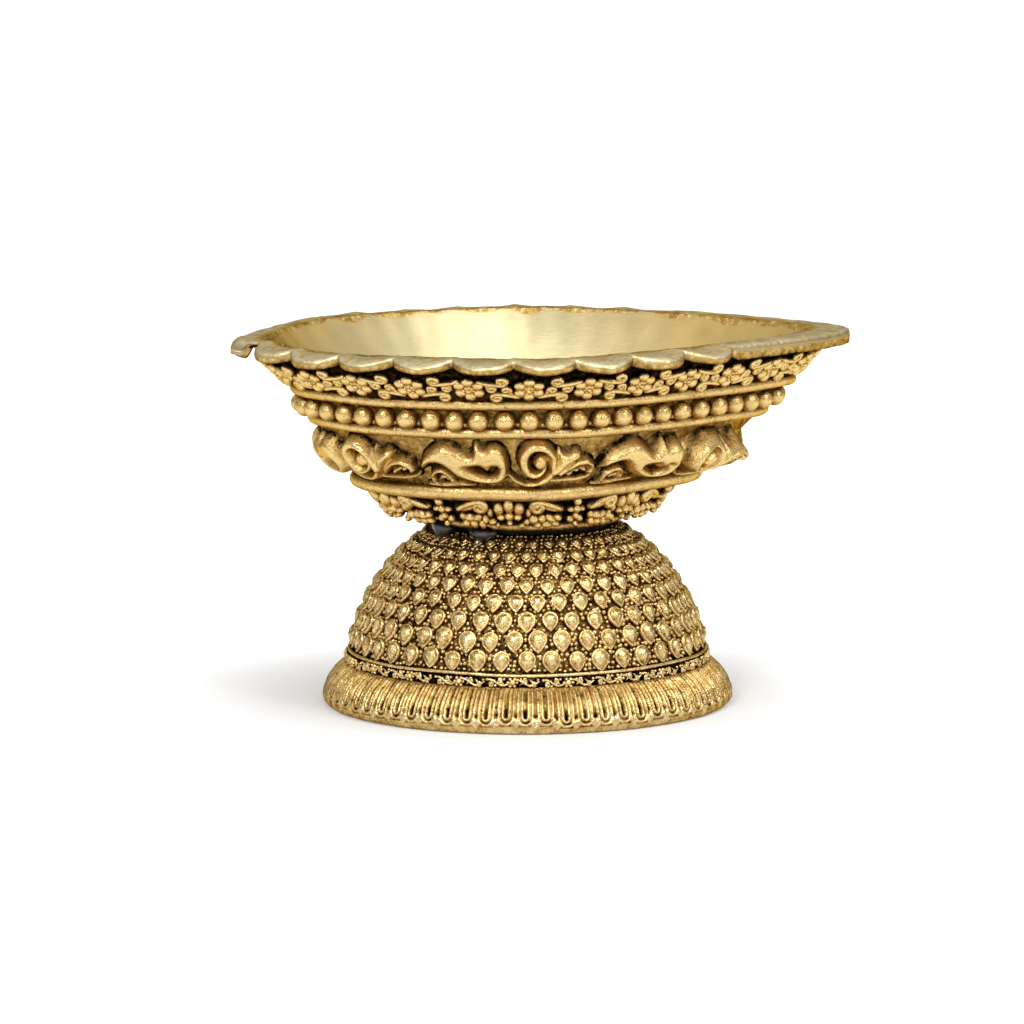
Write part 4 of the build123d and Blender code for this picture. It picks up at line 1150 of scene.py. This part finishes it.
# Lower flower band: a garland on the wall under the lowest wire, cast and soldered: tulip heads,
# fern curls and crosses of small balls, crowded together and black between.
GARLAND_SEED = 31
GARLAND_UNITS = 6
GARLAND_PHASE = 7.2
GARLAND_TOP = 2.1
GARLAND_STRETCH = 1.12
GARLAND_RAISE = 0.15
FERN_RADIUS = 0.66
BERRY_GROWTH = 1.18
BERRY_SIZES = (0.75, 1.4)
TULIP = [  # place along and up, half width, half height and how far it stands out
    (0, 1.3, 0.8, 1.5, 1.5), (-1.75, 0.6, 0.85, 1.3, 1.2), (1.75, 0.6, 0.85, 1.3, 1.2),
    (0, -0.9, 0.75, 0.85, 1.3), (-1.5, -1.1, 0.75, 0.6, 1.1), (1.5, -1.1, 0.75, 0.6, 1.1),
    (0, -2.3, 0.55, 0.6, 1.0),
]
BERRIES = [  # place along and up, and radius
    (4.4, -1.7, 0.72), (5.9, -1.5, 0.8), (7.3, -1.4, 0.75), (3.2, -2.2, 0.62), (8.6, -1.3, 0.72),
    (5.2, -2.8, 0.6), (6.8, -2.7, 0.62), (8.3, -2.6, 0.6), (2.2, -2.9, 0.5),
]
LEAVES = [  # place along, up and out, radii, rows and columns, and lean
    ((5.0, 1.1, 0.8), (0.6, 0.6, 0.8), (6, 10), 0.0),
    ((7.6, 0.7, 0.6), (2.3, 0.82, 1.2), (7, 12), -0.22),
    ((3.4, -0.4, 0.7), (0.6, 1.0, 0.9), (6, 10), 0.0),
]
CROSS = [(1.7, 0.75, 1.0), (0.2, 0.7, 0.9), (-1.2, 0.7, 0.7), (-2.7, 0.6, 0.6)]  # place up, and radii
CROSS_ARMS = [((1.1, 0.1, 0.9), (0.8, 0.55, 0.8)), ((1.0, -1.9, 0.9), (0.75, 0.7, 0.8))]  # place and radii


def garland_grids(length):
    """One repeat: a tulip of three lobes over a cross of balls, a fern curl with a long leaf on each
    side, a cross of bars and balls between repeats, and loose balls along the lower edge."""
    rng = np.random.default_rng(GARLAND_SEED)
    grids = []
    for x, y, wide, tall, out in TULIP:
        grids.append(ball((x, y, 0.75 * out), (1.15 * wide, 1.1 * tall, 1.05), 7, 12))
    far = length / 2
    for side in (-1, 1):
        fern = curl((side * 9.6, 0.0), (side * 4.2, 2.2), (side * 5.0, 1.1), 1.05, side * 1.5, 34)
        grids.append(tube(fern, tapered(len(fern), FERN_RADIUS), 1.15, 8, TENDRIL_DEPTH))
        for (x, y, out), radii, grid, lean in LEAVES:
            grids.append(ball((side * x, y, out), radii, *grid, side * lean))
        for x, y, r in BERRIES:
            radii = BERRY_GROWTH * r * rng.uniform(*BERRY_SIZES, 3)
            grids.append(ball((side * x, y, 0.9), radii, 6, 8, rng.uniform(0, np.pi)))
        for (x, y, out), radii in CROSS_ARMS:
            grids.append(ball((far + side * x, y, out), radii, 6, 8))
    for y, wide, tall in CROSS:
        grids.append(ball((far, y, 1.1), (wide, tall, 0.9), 6, 10))
    return grids


def garland_band():
    """Repeats of the garland laid round the wall under the lowest wire."""
    length = girth(LEAF_SKIRT, LEAF_WAIST)

    def place(along, up, out):
        raised = GARLAND_STRETCH * up + GARLAND_RAISE
        return on_wall(LEAF_SKIRT, LEAF_WAIST, along + GARLAND_PHASE, raised, out)

    return spread(garland_grids(length / GARLAND_UNITS), GARLAND_UNITS, length, place, GARLAND_TOP)


piece("lower_flower_band_garland", garland_band(), bowl_trim_brass, "antique_brass", "lower_flower_band")

# Stage: a white floor whose painted glow is weakest at the lamp's foot, so the floor is painted darker
# there and keeps the soft shadow while shadow further off is washed out; a white room with a grey screen
# round it that only reflections show, a large soft light above the front, a smaller one on each side,
# and the camera.
CAMERA_AZIMUTH = math.radians(-8.0)
CAMERA_DISTANCE = 1.2
CAMERA_HEIGHT = 0.2102
CAMERA_ROLL = math.radians(0.25)
CAMERA_LENS_MM = 230.8
CAMERA_SENSOR_MM = 36.0
AIM = Vector((0.0, 0.0, 0.033))
AIM_RIGHT = -0.00274
AIM_UP = 0.0021
WHITE = (1, 1, 1, 1)
FLOOR_HALF = 3
FLOOR_GREY = 0.66
FLOOR_GLOW = (0.038, 0.09, 0.14, 0.6)  # two distances from the axis, and the painted glow that whitens the floor at each, least at the lamp's foot
ROOM_LIGHT = (0.8, 1.0)  # strength for the light on the lamp, and as seen
SCREEN_RADIUS = 2.9
SCREEN_HEIGHTS = (0.15, 1.05)
SCREEN_POSTS = 49
SCREEN_GREY = 0.34


def soft_light(name, place, size, watts):
    """Square area lamp aimed at the middle of the lamp."""
    data = bpy.data.lights.new(name, "AREA")
    data.size = size
    data.energy = watts
    lamp = bpy.data.objects.new(name, data)
    lamp.location = place
    lamp.rotation_euler = (AIM - Vector(place)).to_track_quat("-Z", "Y").to_euler()
    bpy.context.collection.objects.link(lamp)


def seen_directly(tree):
    """One for rays that come from the camera, a mirror or a glass, nothing for the rest."""
    path = add(tree, "LightPath").outputs
    shown = add(tree, "Math", (path["Is Camera Ray"], path["Is Glossy Ray"]), operation="ADD")
    return add(tree, "Math", (shown, path["Is Transmission Ray"]), operation="ADD", use_clamp=True)


def matt_sheet(name, corners, faces, finish, grey):
    """Sheet of matt paper or cloth in one grey, with its node tree and its shader."""
    mesh = bpy.data.meshes.new(name)
    mesh.from_pydata(corners, [], faces)
    sheet = bpy.data.objects.new(name, mesh)
    bpy.context.collection.objects.link(sheet)
    material, tree, shader = fresh_material(finish)
    mesh.materials.append(material)
    connect(tree, shader, {"Base Color": (grey, grey, grey, 1), "Roughness": 0.9, "Specular IOR Level": 0.0})
    return sheet, tree, shader


world = bpy.data.worlds.new("white_room")
bpy.context.scene.world = world
world.use_nodes = True
sky = world.node_tree
level = add(sky, "MapRange", (seen_directly(sky), 0.0, 1.0, *ROOM_LIGHT))
connect(sky, sky.nodes["Background"], {"Strength": level, "Color": WHITE})

floor_corners = [(FLOOR_HALF * x, FLOOR_HALF * y, 0) for x, y in ((-1, -1), (1, -1), (1, 1), (-1, 1))]
floor, tree, shader = matt_sheet("floor", floor_corners, [(0, 1, 2, 3)], "white_paper_with_painted_glow", FLOOR_GREY)
# Painted glow: the floor shines for the camera and for mirrors, least at the lamp's foot, so it is painted
# darker there.
middle = add(tree, "VectorMath", (add(tree, "TexCoord").outputs["Object"],), operation="LENGTH")
painted_floor_glow = add(tree, "MapRange", (middle, *FLOOR_GLOW))
glow = add(tree, "Math", (seen_directly(tree), painted_floor_glow), operation="MULTIPLY")
connect(tree, shader, {"Emission Color": WHITE, "Emission Strength": glow})

posts = np.linspace(0, 2 * np.pi, SCREEN_POSTS)[:, None]
screen_corners = about_axis(SCREEN_RADIUS, posts, np.array(SCREEN_HEIGHTS)).reshape(-1, 3).tolist()
screen_faces = grid_faces(SCREEN_POSTS, len(SCREEN_HEIGHTS), wrap_columns=False).tolist()
screen, tree, shader = matt_sheet("grey_screen", screen_corners, screen_faces, "grey_cloth", SCREEN_GREY)
camera_ray = add(tree, "LightPath").outputs["Is Camera Ray"]
connect(tree, shader, {"Alpha": add(tree, "Math", (1.0, camera_ray), operation="SUBTRACT")})

soft_light("top_light", (0.18, -0.38, 0.85), 0.6, 3.6)
soft_light("left_light", (-0.45, -0.75, 0.65), 0.22, 4.2)
soft_light("right_light", (0.6, -0.7, 0.55), 0.2, 1.9)

turned_stand = Vector((math.sin(CAMERA_AZIMUTH), -math.cos(CAMERA_AZIMUTH), 0.0)) * CAMERA_DISTANCE
stand = turned_stand + Vector((0, 0, CAMERA_HEIGHT))
ahead = (AIM - stand).normalized()
right = ahead.cross(Vector((0, 0, 1))).normalized()
target = AIM + right * AIM_RIGHT + right.cross(ahead) * AIM_UP
camera_data = bpy.data.cameras.new("camera")
camera_data.lens = CAMERA_LENS_MM
camera_data.sensor_width = CAMERA_SENSOR_MM
camera = bpy.data.objects.new("camera", camera_data)
bpy.context.collection.objects.link(camera)
look = (target - stand).to_track_quat("-Z", "Y").to_matrix().to_4x4()
camera.matrix_world = Matrix.Translation(stand) @ look @ Matrix.Rotation(-CAMERA_ROLL, 4, "Z")
bpy.context.scene.camera = camera
bpy.context.scene.view_settings.view_transform = "Standard"
